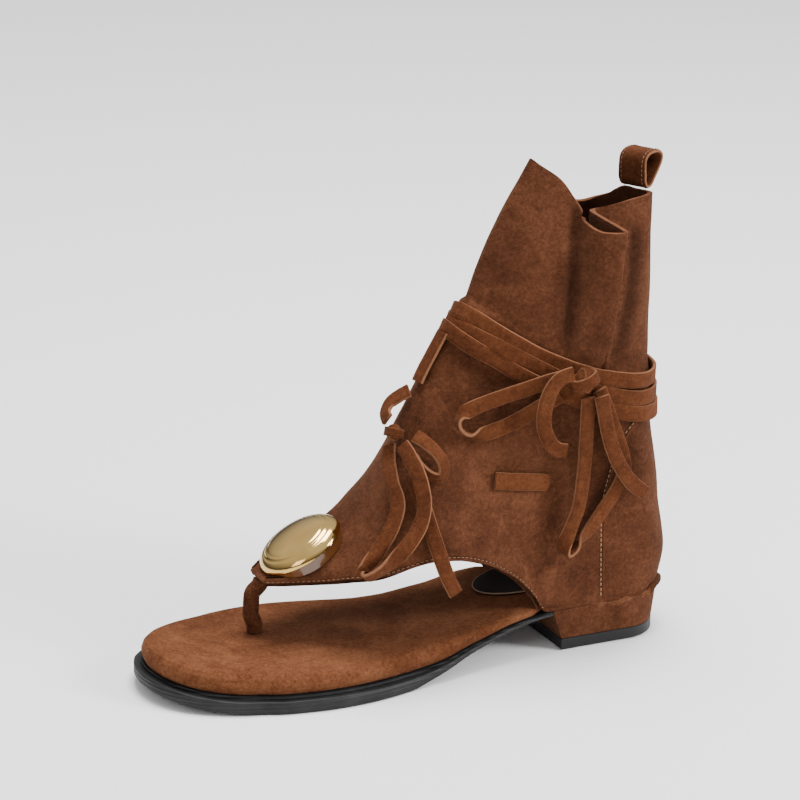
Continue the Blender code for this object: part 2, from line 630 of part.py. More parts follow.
def band(row, material, collection):
    """One turn of the strap round the ankle."""
    front, back, out = row
    points, normals = [], []
    for i in range(BAND_COUNT):
        turn = 2 * math.pi * i / BAND_COUNT
        across = math.copysign((1 + math.cos(turn)) / 2, math.sin(turn - math.pi))
        rest = (1 - abs(across)) ** 2
        z = place_z(back + (front - back) * rest)
        point, normal = on_skin(across, z, GAP + STRAP * (0.5 + out))
        points.append(point)
        normals.append(normal)
    return ribbon("band", points, normals, [STRAP_WIDTH] * BAND_COUNT, STRAP, True, material, collection)


def join(item, others):
    """Unite solids into the first of them."""
    for other in others:
        change = item.modifiers.new("join", "BOOLEAN")
        change.operation = "UNION"
        change.object = other
    for other in others:
        other.hide_render = True
        other.display_type = "WIRE"
    return item


def vectors(places):
    """Points in metres from a route in millimetres."""
    return [Vector(place) * MM for place in places]


def riser(material, collection):
    """Piece of the ankle strap that comes down the front to its hole."""
    points = blend_rows(vectors(RISER_ROUTE), 2, False)
    faces = [Vector(RISER_FACE)] * len(points)
    return ribbon("riser", points, faces, [STRAP_WIDTH] * len(points), STRAP, False, material, collection)


def side_tab(material, collection):
    """Pointed end of a strip on the outer quarter."""
    points = vectors(TAB_ROUTE)
    widths = [TAB_WIDTH * share for share in TAB_POINT]
    return ribbon("side_tab", points, [Vector(TAB_FACE)] * len(points), widths, STRAP, False,
                  material, collection)


def pull_loop(material, collection):
    """Band loop that stands on the rim at the back of the collar."""
    rim = place_z(FOLDS[0][FOLD_COLUMNS.index("collar_z")])
    depth = Vector((math.cos(LOOP_TURN), math.sin(LOOP_TURN), 0))
    base = Vector((LOOP_X, 0, rim + GAP + LOOP_STRAP))
    corners = [base + depth * (across * LOOP_DEPTH) + Vector((0, 0, up * LOOP_HEIGHT))
               for across, up in LOOP]
    points = blend_rows(corners, 2, True)
    middle = sum(points, Vector()) / len(points)
    faces = []
    for i, point in enumerate(points):
        way = points[(i + 1) % len(points)] - points[i - 1]
        face = way.cross(Vector((-depth.y, depth.x, 0))).normalized()
        faces.append(face if face.dot(point - middle) > 0 else -face)
    return ribbon("pull_loop", points, faces, [LOOP_WIDTH] * len(points), LOOP_STRAP, True,
                  material, collection)


def toe_post(material, collection):
    """Suede-wrapped tube from the footbed to the underside of the vamp tip."""
    x = POST_ROUTE[0][0] * MM
    foot = max(bed_z(x - POST_WIDTH / 2), bed_z(x + POST_WIDTH / 2)) + GAP
    run = []
    for i in range(POST_STEPS + 1):
        level = i / POST_STEPS
        x, y = (smooth(POST_LEVELS, places, level) * MM for places in zip(*POST_ROUTE))
        run.append(Vector((x, y, foot + (POST_TOP - foot) * level)))
    curve = bpy.data.curves.new("toe_post", "CURVE")
    curve.dimensions = "3D"
    curve.bevel_depth = POST_WIDTH / 2
    curve.bevel_resolution = POST_SIDES - 1
    curve.use_fill_caps = True
    spline = curve.splines.new("POLY")
    spline.points.add(len(run) - 1)
    for place, point in zip(spline.points, run):
        place.co = (*point, 1)
    curve.materials.append(material)
    item = bpy.data.objects.new("toe_post", curve)
    collection.objects.link(item)
    return item


def ornament_frame():
    """Middle, length, width and outward directions of the ornament on the vamp's ridge."""
    front, back = skin(ORNAMENT_FROM, 0), skin(ORNAMENT_TO, 0)
    front.y = back.y = (front.y + back.y) / 2
    width = Vector((0, 1, 0))
    length = Matrix.Rotation(-ORNAMENT_TILT, 3, width) @ (back - front).normalized()
    out = length.cross(width)
    peak = max((skin(ORNAMENT_FROM + (ORNAMENT_TO - ORNAMENT_FROM) * i / 10, 0) - front).dot(out)
               for i in range(11))
    return (front + back) / 2 + out * peak, length, width, out


def oval(middle, length, width, share):
    """Ring of the ornament's outline at a share of its size."""
    ring = []
    for i in range(ORNAMENT_COUNT):
        turn = 2 * math.pi * i / ORNAMENT_COUNT
        ring.append(middle + length * (math.cos(turn) * ORNAMENT_LENGTH / 2 * share)
                    + width * (math.sin(turn) * ORNAMENT_WIDTH / 2 * share))
    return ring


def ornament_base(material, parts, cutters):
    """Oval seat under the dome, cut to the vamp's outer face."""
    middle, length, width, out = ornament_frame()
    bm = bmesh.new()
    levels = walls(bm, [oval(middle + out * level, length, width, SEAT_SHARE)
                        for level in (-UPPER_HEIGHT * 0.05, ORNAMENT_SEAT)])
    bm.faces.new(levels[0])
    bm.faces.new(levels[1])
    item = add_object("ornament_base", bm, material, parts)

    bm = bmesh.new()
    tops, lows = [], []
    places = [place for place in fold_places() if abs(place) < CUTTER_REACH]
    for row in range(CUTTER_ROWS):
        line = [point + normal * GAP for point, normal in (skin_frame(row, place) for place in places)]
        for point in (line[0], line[-1]):
            point.y += math.copysign(CUTTER_SPARE, point.y)
        tops.append([bm.verts.new(point) for point in line])
        lows.append([bm.verts.new((point.x, point.y, 0)) for point in line])
    last = len(places) - 1
    for i in range(CUTTER_ROWS - 1):
        for k in range(last):
            bm.faces.new((tops[i][k], tops[i + 1][k], tops[i + 1][k + 1], tops[i][k + 1]))
            bm.faces.new((lows[i][k], lows[i][k + 1], lows[i + 1][k + 1], lows[i + 1][k]))
        bm.faces.new((tops[i][0], lows[i][0], lows[i + 1][0], tops[i + 1][0]))
        bm.faces.new((tops[i][last], tops[i + 1][last], lows[i + 1][last], lows[i][last]))
    for k in range(last):
        bm.faces.new((tops[0][k], tops[0][k + 1], lows[0][k + 1], lows[0][k]))
        bm.faces.new((tops[-1][k], lows[-1][k], lows[-1][k + 1], tops[-1][k + 1]))
    cutter = add_object("vamp_cutter", bm, material, cutters)
    cutter.hide_render = True
    cutter.display_type = "WIRE"
    change = item.modifiers.new("fit", "BOOLEAN")
    change.operation = "DIFFERENCE"
    change.solver = "EXACT"
    change.object = cutter
    return item


def ornament_dome(material, collection):
    """Polished oval dome."""
    middle, length, width, out = ornament_frame()
    base = middle + out * (ORNAMENT_SEAT + GAP)
    rings = [oval(base, length, width, 1.0)]
    for i in range(1, 7):
        turn = math.pi / 2 * i / 7
        rings.append(oval(base + out * (ORNAMENT_RISE * math.sin(turn)), length, width, math.cos(turn)))
    bm = bmesh.new()
    levels = walls(bm, rings)
    bm.faces.new(levels[0])
    top = bm.verts.new(base + out * ORNAMENT_RISE)
    last = levels[-1]
    for i in range(len(last)):
        bm.faces.new((last[i], last[(i + 1) % len(last)], top))
    return add_object("ornament_dome", bm, material, collection)


def knot(name, material, collection):
    """Rounded knot of a bow."""
    middle, sizes = KNOTS[name]
    bm = bmesh.new()
    bmesh.ops.create_uvsphere(bm, u_segments=12, v_segments=8, radius=1.0)
    for vert in bm.verts:
        vert.co = Vector([(m + c * size) * MM for m, c, size in zip(middle, vert.co, sizes)])
    return add_object(name, bm, material, collection)


def cord(name, material, collection):
    """Loop or end of a bow: a flat strap that turns on edge at the far end of a loop."""
    near, far, turn, places = CORDS[name]
    points = blend_rows(vectors(places), 2, False)
    start = points[0]
    middle = sum(points, Vector()) / len(points)
    reach = max((point - start).length for point in points)
    faces = []
    for point in points:
        share = (point - start).length / reach
        face = Vector(near).lerp(Vector(far), share) if far else (point - middle).normalized() + Vector(near)
        if turn:
            bend = min(max((share - LOOP_TURN_FROM) / (1 - LOOP_TURN_FROM), 0.0), 1.0)
            face = face.lerp(Vector(turn), bend * bend * (3 - 2 * bend))
        faces.append(face.normalized())
    return ribbon(name, points, faces, [STRAP_WIDTH] * len(points), STRAP, False, material, collection)


def material_of(name, colour, roughness, metallic=0.0):
    material = bpy.data.materials.new(name)
    material.use_nodes = True
    shader = material.node_tree.nodes["Principled BSDF"]
    shader.inputs["Base Color"].default_value = (*colour, 1)
    shader.inputs["Roughness"].default_value = roughness
    shader.inputs["Metallic"].default_value = metallic
    material.diffuse_color = (*colour, 1)
    return material


def build():
    for item in list(bpy.data.objects):
        bpy.data.objects.remove(item, do_unlink=True)
    parts = bpy.data.collections.new(NAME)
    cutters = bpy.data.collections.new("cutters")
    bpy.context.scene.collection.children.link(parts)
    bpy.context.scene.collection.children.link(cutters)
    suede = material_of("suede", (0.19, 0.075, 0.032), 0.95)
    rubber = material_of("rubber", (0.02, 0.02, 0.022), 0.55)
    lining = material_of("pad", (0.03, 0.02, 0.015), 0.8)
    amber = material_of("amber", (0.10, 0.035, 0.008), 0.3)
    gold = material_of("gold", (0.83, 0.62, 0.27), 0.12, 1.0)

    outsole(rubber, parts)
    footbed(suede, parts)
    insole_pad(lining, parts)
    heel_block(suede, parts)
    top_lift(rubber, parts)
    upper(suede, parts)
    toe_post(suede, parts)
    ornament_base(amber, parts, cutters)
    ornament_dome(gold, parts)
    pull_loop(suede, parts)
    side_tab(suede, parts)
    bands = [band(BANDS[0], suede, parts)] + [band(row, suede, cutters) for row in BANDS[1:]]
    bands.append(riser(suede, cutters))
    bands[0].name = "ankle_wraps"
    join(bands[0], bands[1:])
    for name in KNOTS:
        knot(name, suede, parts)
    for name in CORDS:
        cord(name, suede, parts)


build()
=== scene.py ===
"""Looks of an ankle-high suede toe post sandal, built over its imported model."""
import math
from bisect import bisect_right

import bpy
import bmesh
from mathutils import Matrix, Vector, noise


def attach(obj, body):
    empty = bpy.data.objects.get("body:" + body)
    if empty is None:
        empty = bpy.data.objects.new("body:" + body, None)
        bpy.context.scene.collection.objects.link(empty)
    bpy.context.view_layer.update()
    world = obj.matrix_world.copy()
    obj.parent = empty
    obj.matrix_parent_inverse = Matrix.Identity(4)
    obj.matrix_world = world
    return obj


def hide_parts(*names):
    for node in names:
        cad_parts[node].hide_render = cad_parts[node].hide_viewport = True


MM = 0.001
GAP = 0.3 * MM

# Overall sizes
LENGTH = 243.5 * MM          # toe tip to the back of the heel seat
SEAT_BACK = 26 * MM          # back of the heel seat, measured from the origin
BALL_WIDTH = 93 * MM
HEEL_HEIGHT = 19.3 * MM      # floor to the heel seat
UPPER_HEIGHT = 196.7 * MM    # heel seat to the front peak of the collar
WALL = 2.2 * MM              # suede and lining together

# Sole
RUBBER = 7 * MM              # outsole under the ball of the foot
RUBBER_STEP = 1.6 * MM       # raised seat inside the ledge
LEDGE = 3.2 * MM
CHAMFER = 0.6 * MM
CUSHION = 9 * MM
TOE_SPRING = 5 * MM
TOE_ROUND = 0.2              # share of LENGTH rounded at the toe
HEEL_ROUND = 23 * MM
CUP_CLEARANCE = 1.0 * MM     # footbed to the inside of the heel cup
PAD_LENGTH = 78 * MM
PAD_WIDTH = 33 * MM
PAD_THICKNESS = 1.4 * MM
PAD_SHIFT = 2 * MM

# Heel
BREAST = -36 * MM            # front face of the heel block at the seat
LIFT_FRONT = -30.6 * MM
LIFT_BACK = 24 * MM
LIFT_HALF = 26.5 * MM
LIFT_HEIGHT = 5.2 * MM

# Toe post and ornament
POST_WIDTH = 7 * MM
POST_STEPS = 36
ORNAMENT_LENGTH = 39 * MM
ORNAMENT_WIDTH = 34 * MM
ORNAMENT_RISE = 7.5 * MM
ORNAMENT_SEAT = 2.6 * MM
ORNAMENT_FROM = 0.75          # sections of the upper under the two ends of the ornament
ORNAMENT_TO = 4.4
ORNAMENT_TILT = math.radians(6)   # steeper than the ridge below it
ORNAMENT_COUNT = 96

# Straps
STRAP_WIDTH = 6.8 * MM
STRAP = 1.7 * MM
LOOP_WIDTH = 13.5 * MM
LOOP_STRAP = 1.4 * MM
LOOP_HEIGHT = 14.8 * MM
LOOP_DEPTH = 13 * MM
LOOP_X = 12.6 * MM             # middle of the back wall's rim
LOOP_TURN = math.radians(28)
TAB_WIDTH = 7.5 * MM

COUNT = 90                   # points along each side of a sole outline
MERGE = 0.01 * MM
NUDGE = 0.02                 # step for the skin's slopes, in sections and places across
SHARE_DIGITS = 5             # rounding of a share, so that a section ends exactly on the back line

# Footbed's rolled edge: inset and height as shares of CUSHION and of the footbed's own height
BED_ROLL = ((0.14, 0.0), (0.03, 0.22), (0.0, 0.45), (0.08, 0.74), (0.24, 0.93), (0.5, 1.0))
CUP_RUN = 6 * MM             # length over which the footbed narrows into the heel cup
PAD_MARGIN = 4 * MM

# Sole sections. along is the share of LENGTH in front of the heel seat's back, outer and inner are
# shares of BALL_WIDTH, rise of HEEL_HEIGHT, and spring, rubber, cushion and ledge of their own sizes.
SOLE_COLUMNS = ("along", "outer", "inner", "rise", "spring", "rubber", "cushion", "ledge")
SOLE = (
    (0.000, 0.297, 0.297, 0.990, 0.00, 0.27, 0.60, 0.15),
    (0.107, 0.297, 0.297, 0.959, 0.00, 0.27, 0.55, 0.15),
    (0.189, 0.299, 0.299, 0.933, 0.00, 0.27, 0.52, 0.15),
    (0.255, 0.303, 0.303, 0.907, 0.00, 0.27, 0.50, 0.15),
    (0.312, 0.325, 0.325, 0.845, 0.00, 0.27, 0.50, 0.15),
    (0.349, 0.340, 0.333, 0.767, 0.00, 0.29, 0.52, 0.18),
    (0.390, 0.357, 0.333, 0.622, 0.00, 0.33, 0.58, 0.25),
    (0.435, 0.383, 0.339, 0.466, 0.00, 0.42, 0.70, 0.40),
    (0.480, 0.411, 0.349, 0.259, 0.00, 0.56, 0.90, 0.60),
    (0.522, 0.433, 0.369, 0.104, 0.00, 0.78, 0.99, 0.80),
    (0.563, 0.461, 0.401, 0.000, 0.00, 1.00, 1.00, 0.95),
    (0.608, 0.490, 0.435, 0.000, 0.00, 1.00, 1.00, 1.00),
    (0.649, 0.506, 0.462, 0.000, 0.00, 1.00, 1.00, 1.00),
    (0.690, 0.513, 0.482, 0.000, 0.00, 1.00, 1.00, 1.00),
    (0.723, 0.511, 0.489, 0.000, 0.00, 1.00, 1.00, 1.00),
    (0.764, 0.498, 0.486, 0.000, 0.00, 1.00, 1.00, 1.00),
    (0.800, 0.482, 0.475, 0.000, 0.00, 1.00, 1.00, 1.00),
    (0.846, 0.453, 0.456, 0.000, 0.05, 1.00, 1.00, 1.00),
    (0.900, 0.452, 0.456, 0.000, 0.22, 1.00, 1.00, 1.00),
    (0.960, 0.462, 0.462, 0.000, 0.60, 1.00, 1.00, 1.00),
    (1.000, 0.470, 0.470, 0.000, 1.00, 1.00, 1.00, 1.00),
)

# Upper sections, from the vamp tip to above the ankle straps. Each runs in side view from the ridge
# to the lower edge or the back. x is a share of LENGTH from the seat's back, z of UPPER_HEIGHT over
# the seat, half and shift of BALL_WIDTH. bulk is the roundness at the ridge, and reach the part of
# the section where it grows to its full width.
UPPER_COLUMNS = ("ridge_x", "ridge_z", "edge_x", "edge_z", "half", "bulk", "reach", "shift")
UPPER = (
    (0.773, 0.127, 0.769, 0.118, 0.086, 3.00, 1.00, 0.054),
    (0.753, 0.133, 0.749, 0.122, 0.129, 3.00, 1.00, 0.054),
    (0.728, 0.143, 0.724, 0.126, 0.167, 3.00, 1.00, 0.047),
    (0.687, 0.163, 0.686, 0.132, 0.216, 2.90, 1.00, 0.031),
    (0.638, 0.192, 0.649, 0.146, 0.286, 2.70, 1.00, 0.009),
    (0.592, 0.232, 0.604, 0.156, 0.342, 2.40, 1.00, -0.013),
    (0.566, 0.292, 0.559, 0.169, 0.354, 2.20, 1.00, -0.026),
    (0.545, 0.343, 0.513, 0.178, 0.354, 2.10, 1.00, -0.033),
    (0.527, 0.395, 0.460, 0.171, 0.346, 2.05, 1.00, -0.032),
    (0.513, 0.447, 0.407, 0.151, 0.326, 2.00, 1.00, -0.031),
    (0.497, 0.487, 0.361, 0.120, 0.312, 2.00, 0.96, -0.025),
    (0.485, 0.513, 0.324, 0.085, 0.307, 2.00, 0.92, -0.017),
    (0.475, 0.535, 0.294, 0.044, 0.305, 1.95, 0.88, -0.009),
    (0.468, 0.548, 0.269, 0.004, 0.305, 1.95, 0.85, 0.000),
    (0.463, 0.563, 0.197, 0.002, 0.301, 1.95, 0.80, 0.000),
    (0.455, 0.578, 0.123, 0.002, 0.299, 1.95, 0.75, 0.000),
    (0.447, 0.593, 0.066, 0.002, 0.298, 1.95, 0.72, 0.000),
    (0.441, 0.603, 0.033, 0.002, 0.298, 1.95, 0.70, 0.000),
    (0.433, 0.614, 0.010, 0.002, 0.299, 1.95, 0.68, 0.000),
    (0.427, 0.624, 0.000, 0.007, 0.301, 1.95, 0.66, 0.000),
    (0.421, 0.634, -0.009, 0.054, 0.306, 1.95, 0.64, 0.000),
    (0.416, 0.644, -0.013, 0.095, 0.312, 1.95, 0.63, 0.000),
    (0.410, 0.654, -0.008, 0.146, 0.312, 1.90, 0.62, 0.000),
    (0.406, 0.664, 0.001, 0.207, 0.312, 1.90, 0.61, 0.000),
    (0.402, 0.675, 0.011, 0.298, 0.312, 1.85, 0.60, 0.000),
    (0.397, 0.685, 0.023, 0.380, 0.316, 1.85, 0.60, 0.000),
    (0.392, 0.695, 0.030, 0.451, 0.323, 1.80, 0.60, 0.000),
    (0.383, 0.710, 0.033, 0.532, 0.333, 1.80, 0.60, 0.000),
)
CORNER = 13                  # section that ends on the heel seat's front corner
FIRST_CLOSED = 19            # first section that reaches the back of the heel
ANKLE = 26                   # last section below the folded shaft

# Folds of the shaft, from the back round the outer side to the ridge and back along the inner side.
# t is the place on a section of UPPER, ankle and collar are the ends of each fold line: x and z as
# in UPPER, y a share of BALL_WIDTH.
FOLD_COLUMNS = ("t", "ankle_x", "ankle_y", "ankle_z", "collar_x", "collar_y", "collar_z")
FOLDS = (
    (1.000, 0.033, 0.000, 0.532, 0.053, 0.000, 0.908),
    (0.955, 0.044, -0.118, 0.535, 0.040, -0.081, 0.908),
    (0.870, 0.074, -0.220, 0.542, 0.057, -0.134, 0.908),
    (0.760, 0.119, -0.274, 0.553, 0.094, -0.140, 0.903),
    (0.700, 0.160, -0.280, 0.565, 0.127, -0.118, 0.893),
    (0.660, 0.185, -0.258, 0.573, 0.156, -0.091, 0.883),
    (0.635, 0.179, -0.296, 0.570, 0.158, -0.215, 0.878),
    (0.610, 0.166, -0.328, 0.568, 0.148, -0.376, 0.865),
    (0.520, 0.205, -0.328, 0.588, 0.189, -0.323, 0.863),
    (0.420, 0.246, -0.304, 0.621, 0.206, -0.225, 0.880),
    (0.380, 0.263, -0.288, 0.634, 0.207, -0.205, 0.902),
    (0.190, 0.328, -0.204, 0.667, 0.230, -0.140, 0.960),
    (0.055, 0.365, -0.091, 0.692, 0.258, -0.052, 0.990),
    (0.000, 0.384, 0.000, 0.705, 0.267, 0.000, 1.000),
    (0.055, 0.365, 0.091, 0.692, 0.257, 0.059, 0.987),
    (0.190, 0.328, 0.204, 0.667, 0.234, 0.124, 0.959),
    (0.390, 0.255, 0.296, 0.629, 0.197, 0.183, 0.914),
    (0.550, 0.189, 0.323, 0.583, 0.160, 0.215, 0.878),
    (0.680, 0.140, 0.312, 0.558, 0.123, 0.220, 0.865),
    (0.790, 0.094, 0.274, 0.548, 0.094, 0.199, 0.873),
    (0.880, 0.064, 0.204, 0.540, 0.077, 0.140, 0.886),
    (0.955, 0.044, 0.113, 0.535, 0.065, 0.070, 0.908),
)
RIDGE_FOLD = 13              # row of FOLDS on the front ridge
FOLD_STEPS = 8               # columns of the mesh between two folds
FRONT_BELLY = 0.010          # bow of the shaft's ridge, share of LENGTH

# Ankle bands: height of the band's middle at the front ridge and at the back, as shares of
# UPPER_HEIGHT over the seat, and how far the band stands out as a share of STRAP.
BANDS = (
    (0.678, 0.512, 0.0),
    (0.656, 0.471, 0.25),
    (0.633, 0.432, 0.5),
)
BAND_FROM = 20               # sections of UPPER between which the bands lie
BAND_COUNT = 160              # points round one band


# Pull loop's outline: across the loop as a share of LOOP_DEPTH, and up as a share of LOOP_HEIGHT.
LOOP = (
    (0.000, 0.000), (0.150, 0.040), (0.330, 0.200), (0.560, 0.420), (0.730, 0.640), (0.730, 0.860),
    (0.500, 0.990), (0.040, 0.990), (-0.200, 0.860), (-0.250, 0.640), (-0.240, 0.420),
    (-0.220, 0.200), (-0.120, 0.040),
)

# Routes in millimetres, with the direction that the flat of the strap looks to.
POST_ROUTE = ((-161.3, 9.0), (-161.3, 9.0), (-163.6, 8.0), (-163.6, 7.0), (-160.2, 5.5), (-159.9, 5.4))
POST_LEVELS = (0.0, 0.08, 0.4, 0.72, 0.94, 1.0)
POST_TOP = 41.2 * MM
TAB_ROUTE = ((-65.1, -25.5, 83.0), (-59.5, -26.2, 82.2), (-52.0, -26.7, 81.1), (-45.5, -27.0, 80.2),
             (-42.0, -27.2, 79.6), (-39.8, -27.3, 79.2))
TAB_FACE = (-0.05, -0.99, 0.1)
RISER_ROUTE = ((-79.4, -1.5, 144.2), (-84.8, -2.0, 135.5), (-88.9, -2.5, 129.0), (-91.8, -3.0, 123.8))
RISER_FACE = (-0.85, -0.2, 0.5)

# Knots: middle and half sizes in millimetres.
KNOTS = {
    "ankle_knot": ((-28.6, -35.6, 126.4), (6.5, 4.7, 5.8)),
    "instep_knot": ((-104.6, -7.6, 104.2), (3.6, 6.0, 3.6)),
}

# Loops and ends of the two bows: the flat's direction at the knot, along the far part and at the
# turn of a loop, then the points in millimetres. Without the second direction the flat looks
# outward all round the loop, leaning to the first.
CORDS = {
    "instep_tie": ((-0.85, -0.2, 0.5), (-0.9, -0.1, 0.3), None, (
        (-94.8, -1.5, 120.0), (-98.4, 0.5, 117.4), (-102.4, 1.8, 114.2), (-105.2, -0.1, 111.0),
        (-106.0, -3.8, 109.0))),
    "ankle_loop_left": ((-0.25, -0.97, 0.0), (-0.2, -0.95, 0.25), (-0.9, 0.1, -0.35), (
        (-37.9, -32.9, 128.0), (-43.4, -31.0, 126.6), (-50.5, -28.4, 123.9), (-62.3, -24.4, 119.8),
        (-73.1, -22.9, 116.6), (-79.8, -22.6, 113.7), (-82.2, -22.9, 110.0), (-80.0, -23.6, 106.4),
        (-75.0, -24.0, 104.6), (-67.5, -24.6, 104.9), (-55.9, -26.2, 109.0), (-45.5, -28.6, 114.9),
        (-37.5, -30.9, 119.4))),
    "ankle_curl": ((-0.25, -0.97, 0.0), (-0.25, -0.97, -0.05), None, (
        (-35.8, -38.4, 131.2), (-41.6, -37.8, 129.4), (-45.4, -36.6, 124.0), (-47.4, -35.6, 116.0),
        (-47.4, -35.2, 108.5), (-45.0, -35.4, 101.5), (-41.2, -35.9, 97.4), (-37.0, -36.9, 96.4))),
    "ankle_loop_down": ((-0.1, -0.99, 0.0), (0.0, -1.0, 0.0), (-0.5, 0.0, -0.85), (
        (-21.0, -34.6, 121.0), (-18.0, -34.2, 115.0), (-13.3, -33.9, 103.9), (-8.3, -33.9, 90.6),
        (-6.7, -33.7, 82.5), (-9.8, -33.2, 74.4), (-15.9, -32.2, 64.8), (-22.9, -32.0, 56.0),
        (-29.3, -32.2, 49.6), (-34.2, -33.4, 48.2), (-35.4, -35.0, 53.0), (-32.8, -35.6, 60.9),
        (-29.4, -35.6, 70.4), (-27.6, -35.6, 85.5), (-27.2, -35.9, 99.3), (-27.2, -36.4, 110.7),
        (-27.4, -36.8, 119.0))),
    "ankle_end": ((-0.1, -0.99, 0.0), (0.0, -1.0, 0.0), None, (
        (-22.6, -39.8, 119.8), (-21.0, -39.4, 113.4), (-18.1, -38.9, 102.1), (-13.7, -38.7, 90.5),
        (-5.8, -37.4, 78.8), (3.1, -35.6, 71.3))),
    "instep_loop_long": ((-0.85, -0.3, 0.45), (-0.45, -0.75, 0.5), (-0.4, -0.4, -0.8), (
        (-106.2, -6.6, 98.4), (-108.6, -11.5, 93.2), (-111.4, -21.0, 86.4), (-112.6, -29.5, 79.9),
        (-117.6, -33.6, 71.0), (-124.6, -35.2, 62.4), (-130.4, -36.0, 56.4), (-131.2, -38.6, 53.2),
        (-126.0, -41.6, 56.4), (-117.6, -42.4, 62.9), (-109.3, -41.4, 71.2), (-104.4, -38.0, 80.6),
        (-103.8, -32.4, 90.6), (-105.2, -25.6, 98.4), (-106.0, -19.0, 102.4))),
    "instep_loop_short": ((-0.3, -0.6, 0.3), None, None, (
        (-100.7, -19.8, 106.0), (-98.3, -22.6, 104.6), (-93.9, -26.6, 100.1), (-91.1, -28.7, 94.3),
        (-92.5, -29.5, 89.5), (-96.8, -27.5, 89.9), (-100.5, -24.1, 93.9), (-102.3, -21.5, 97.5))),
    "instep_end": ((-0.75, -0.45, 0.5), (0.05, -0.99, 0.15), None, (
        (-102.7, -24.6, 88.2), (-102.0, -29.4, 81.9), (-100.9, -34.9, 73.1),
        (-98.4, -39.6, 61.0), (-95.0, -42.2, 49.6), (-91.4, -43.4, 41.8))),
}
LOOP_TURN_FROM = 0.72        # share of a loop's reach where its strap starts to turn on edge


def smooth(xs, ys, x):
    """Value at x of a smooth curve through the points, which never swings past them."""
    if x <= xs[0]:
        return ys[0]
    if x >= xs[-1]:
        return ys[-1]
    steps = [b - a for a, b in zip(xs, xs[1:])]
    grades = [(b - a) / step for a, b, step in zip(ys, ys[1:], steps)]

    def slope(i):
        if i == 0 or i == len(xs) - 1:
            return grades[min(i, len(grades) - 1)]
        before, after = grades[i - 1], grades[i]
        if before * after <= 0:
            return 0.0
        return 2 * before * after / (before + after)

    k = bisect_right(xs, x) - 1
    t = (x - xs[k]) / steps[k]
    rise = ys[k + 1] - ys[k]
    left, right = slope(k) * steps[k], slope(k + 1) * steps[k]
    return ys[k] + t * (left + t * (3 * rise - 2 * left - right + t * (left + right - 2 * rise)))


def column(table, columns, name):
    """All values of one named column."""
    return [row[columns.index(name)] for row in table]


def sole(name, along):
    """Smooth value of a column of SOLE."""
    return smooth(column(SOLE, SOLE_COLUMNS, "along"), column(SOLE, SOLE_COLUMNS, name), along)


def upper_value(name, row):
    """Smooth value of a column of UPPER, at a whole or broken section number."""
    return smooth(list(range(len(UPPER))), column(UPPER, UPPER_COLUMNS, name), row)


def place_x(share):
    return SEAT_BACK - share * LENGTH


def place_z(share):
    return HEEL_HEIGHT + share * UPPER_HEIGHT


def along_of(x):
    return (SEAT_BACK - x) / LENGTH


def under_z(x):
    """Underside of the outsole."""
    along = along_of(x)
    return sole("rise", along) * HEEL_HEIGHT + sole("spring", along) * TOE_SPRING


def support_z(x):
    """Top of the outsole, and of the heel block behind it."""
    return under_z(x) + sole("rubber", along_of(x)) * RUBBER


def bed_z(x):
    """Top of the footbed."""
    return support_z(x) + sole("cushion", along_of(x)) * CUSHION


def heel_rounding(x, back):
    """Share of the full width that is left at x where the heel rounds off to its back."""
    share = min(max((x - back + HEEL_ROUND) / HEEL_ROUND, 0.0), 1.0)
    return math.sqrt(1 - round(share, SHARE_DIGITS) ** 2)


def sole_half(side, x):
    """Half width of the sole's outline on one side."""
    along = along_of(x)
    half = sole("outer" if side < 0 else "inner", along) * BALL_WIDTH
    toe = min(max((along - 1 + TOE_ROUND) / TOE_ROUND, 0.0), 1.0)
    return half * math.sqrt(1 - toe * toe) * heel_rounding(x, SEAT_BACK)


def outline(half, start, end, inset, height):
    """Ring of points from the heel along the outer side to the toes and back along the inner side.

    half(side, x) is the half width, inset(x) the distance inwards and height(x) the level.
    An end where the width is zero is one point, and any other end is straight across.
    """
    round_start, round_end = half(-1, start) < GAP, half(-1, end) < GAP
    if round_start and round_end:
        shares = [(1 - math.cos(math.pi * i / COUNT)) / 2 for i in range(COUNT + 1)]
    elif round_start:
        shares = [1 - math.cos(math.pi / 2 * i / COUNT) for i in range(COUNT + 1)]
    else:
        shares = [math.sin(math.pi / 2 * i / COUNT) for i in range(COUNT + 1)]
    stations = [start + (end - start) * share for share in shares]
    near = [Vector((x, -half(-1, x))) for x in stations]
    far = [Vector((x, half(1, x))) for x in reversed(stations)]
    ring = near + far[1 if round_end else 0:len(far) - 1 if round_start else len(far)]
    straight = [] if round_start else [0, len(ring) - 1]
    straight += [] if round_end else [COUNT, COUNT + 1]
    moved = []
    for i, point in enumerate(ring):
        before, after = ring[i - 1], ring[(i + 1) % len(ring)]
        if i in straight:
            side_neighbour = after if i in (0, COUNT + 1) else before
            before, after = (point, after) if side_neighbour is after else (before, point)
        way = (after - before).normalized()
        shifted = point + Vector((way.y, -way.x)) * inset(point.x)
        x = point.x if i in straight else shifted.x
        moved.append(Vector((x, shifted.y, height(x))))
    return moved


def walls(bm, rings):
    """Faces between equal closed rings of points. Gives the vertices of each ring."""
    levels = [[bm.verts.new(point) for point in ring] for ring in rings]
    for low, high in zip(levels, levels[1:]):
        for i in range(len(low)):
            j = (i + 1) % len(low)
            bm.faces.new((low[i], low[j], high[j], high[i]))
    return levels


def footbed_inset(x):
    """From the sole's outline to the footbed's side: the ledge, and behind the corner the cup's wall."""
    cup = WALL + GAP + CUP_CLEARANCE
    corner = place_x(upper_value("edge_x", CORNER))
    share = min(max((x - corner) / CUP_RUN + 1, 0.0), 1.0)
    open_inset = sole("ledge", along_of(x)) * LEDGE
    return open_inset + (cup - open_inset) * share


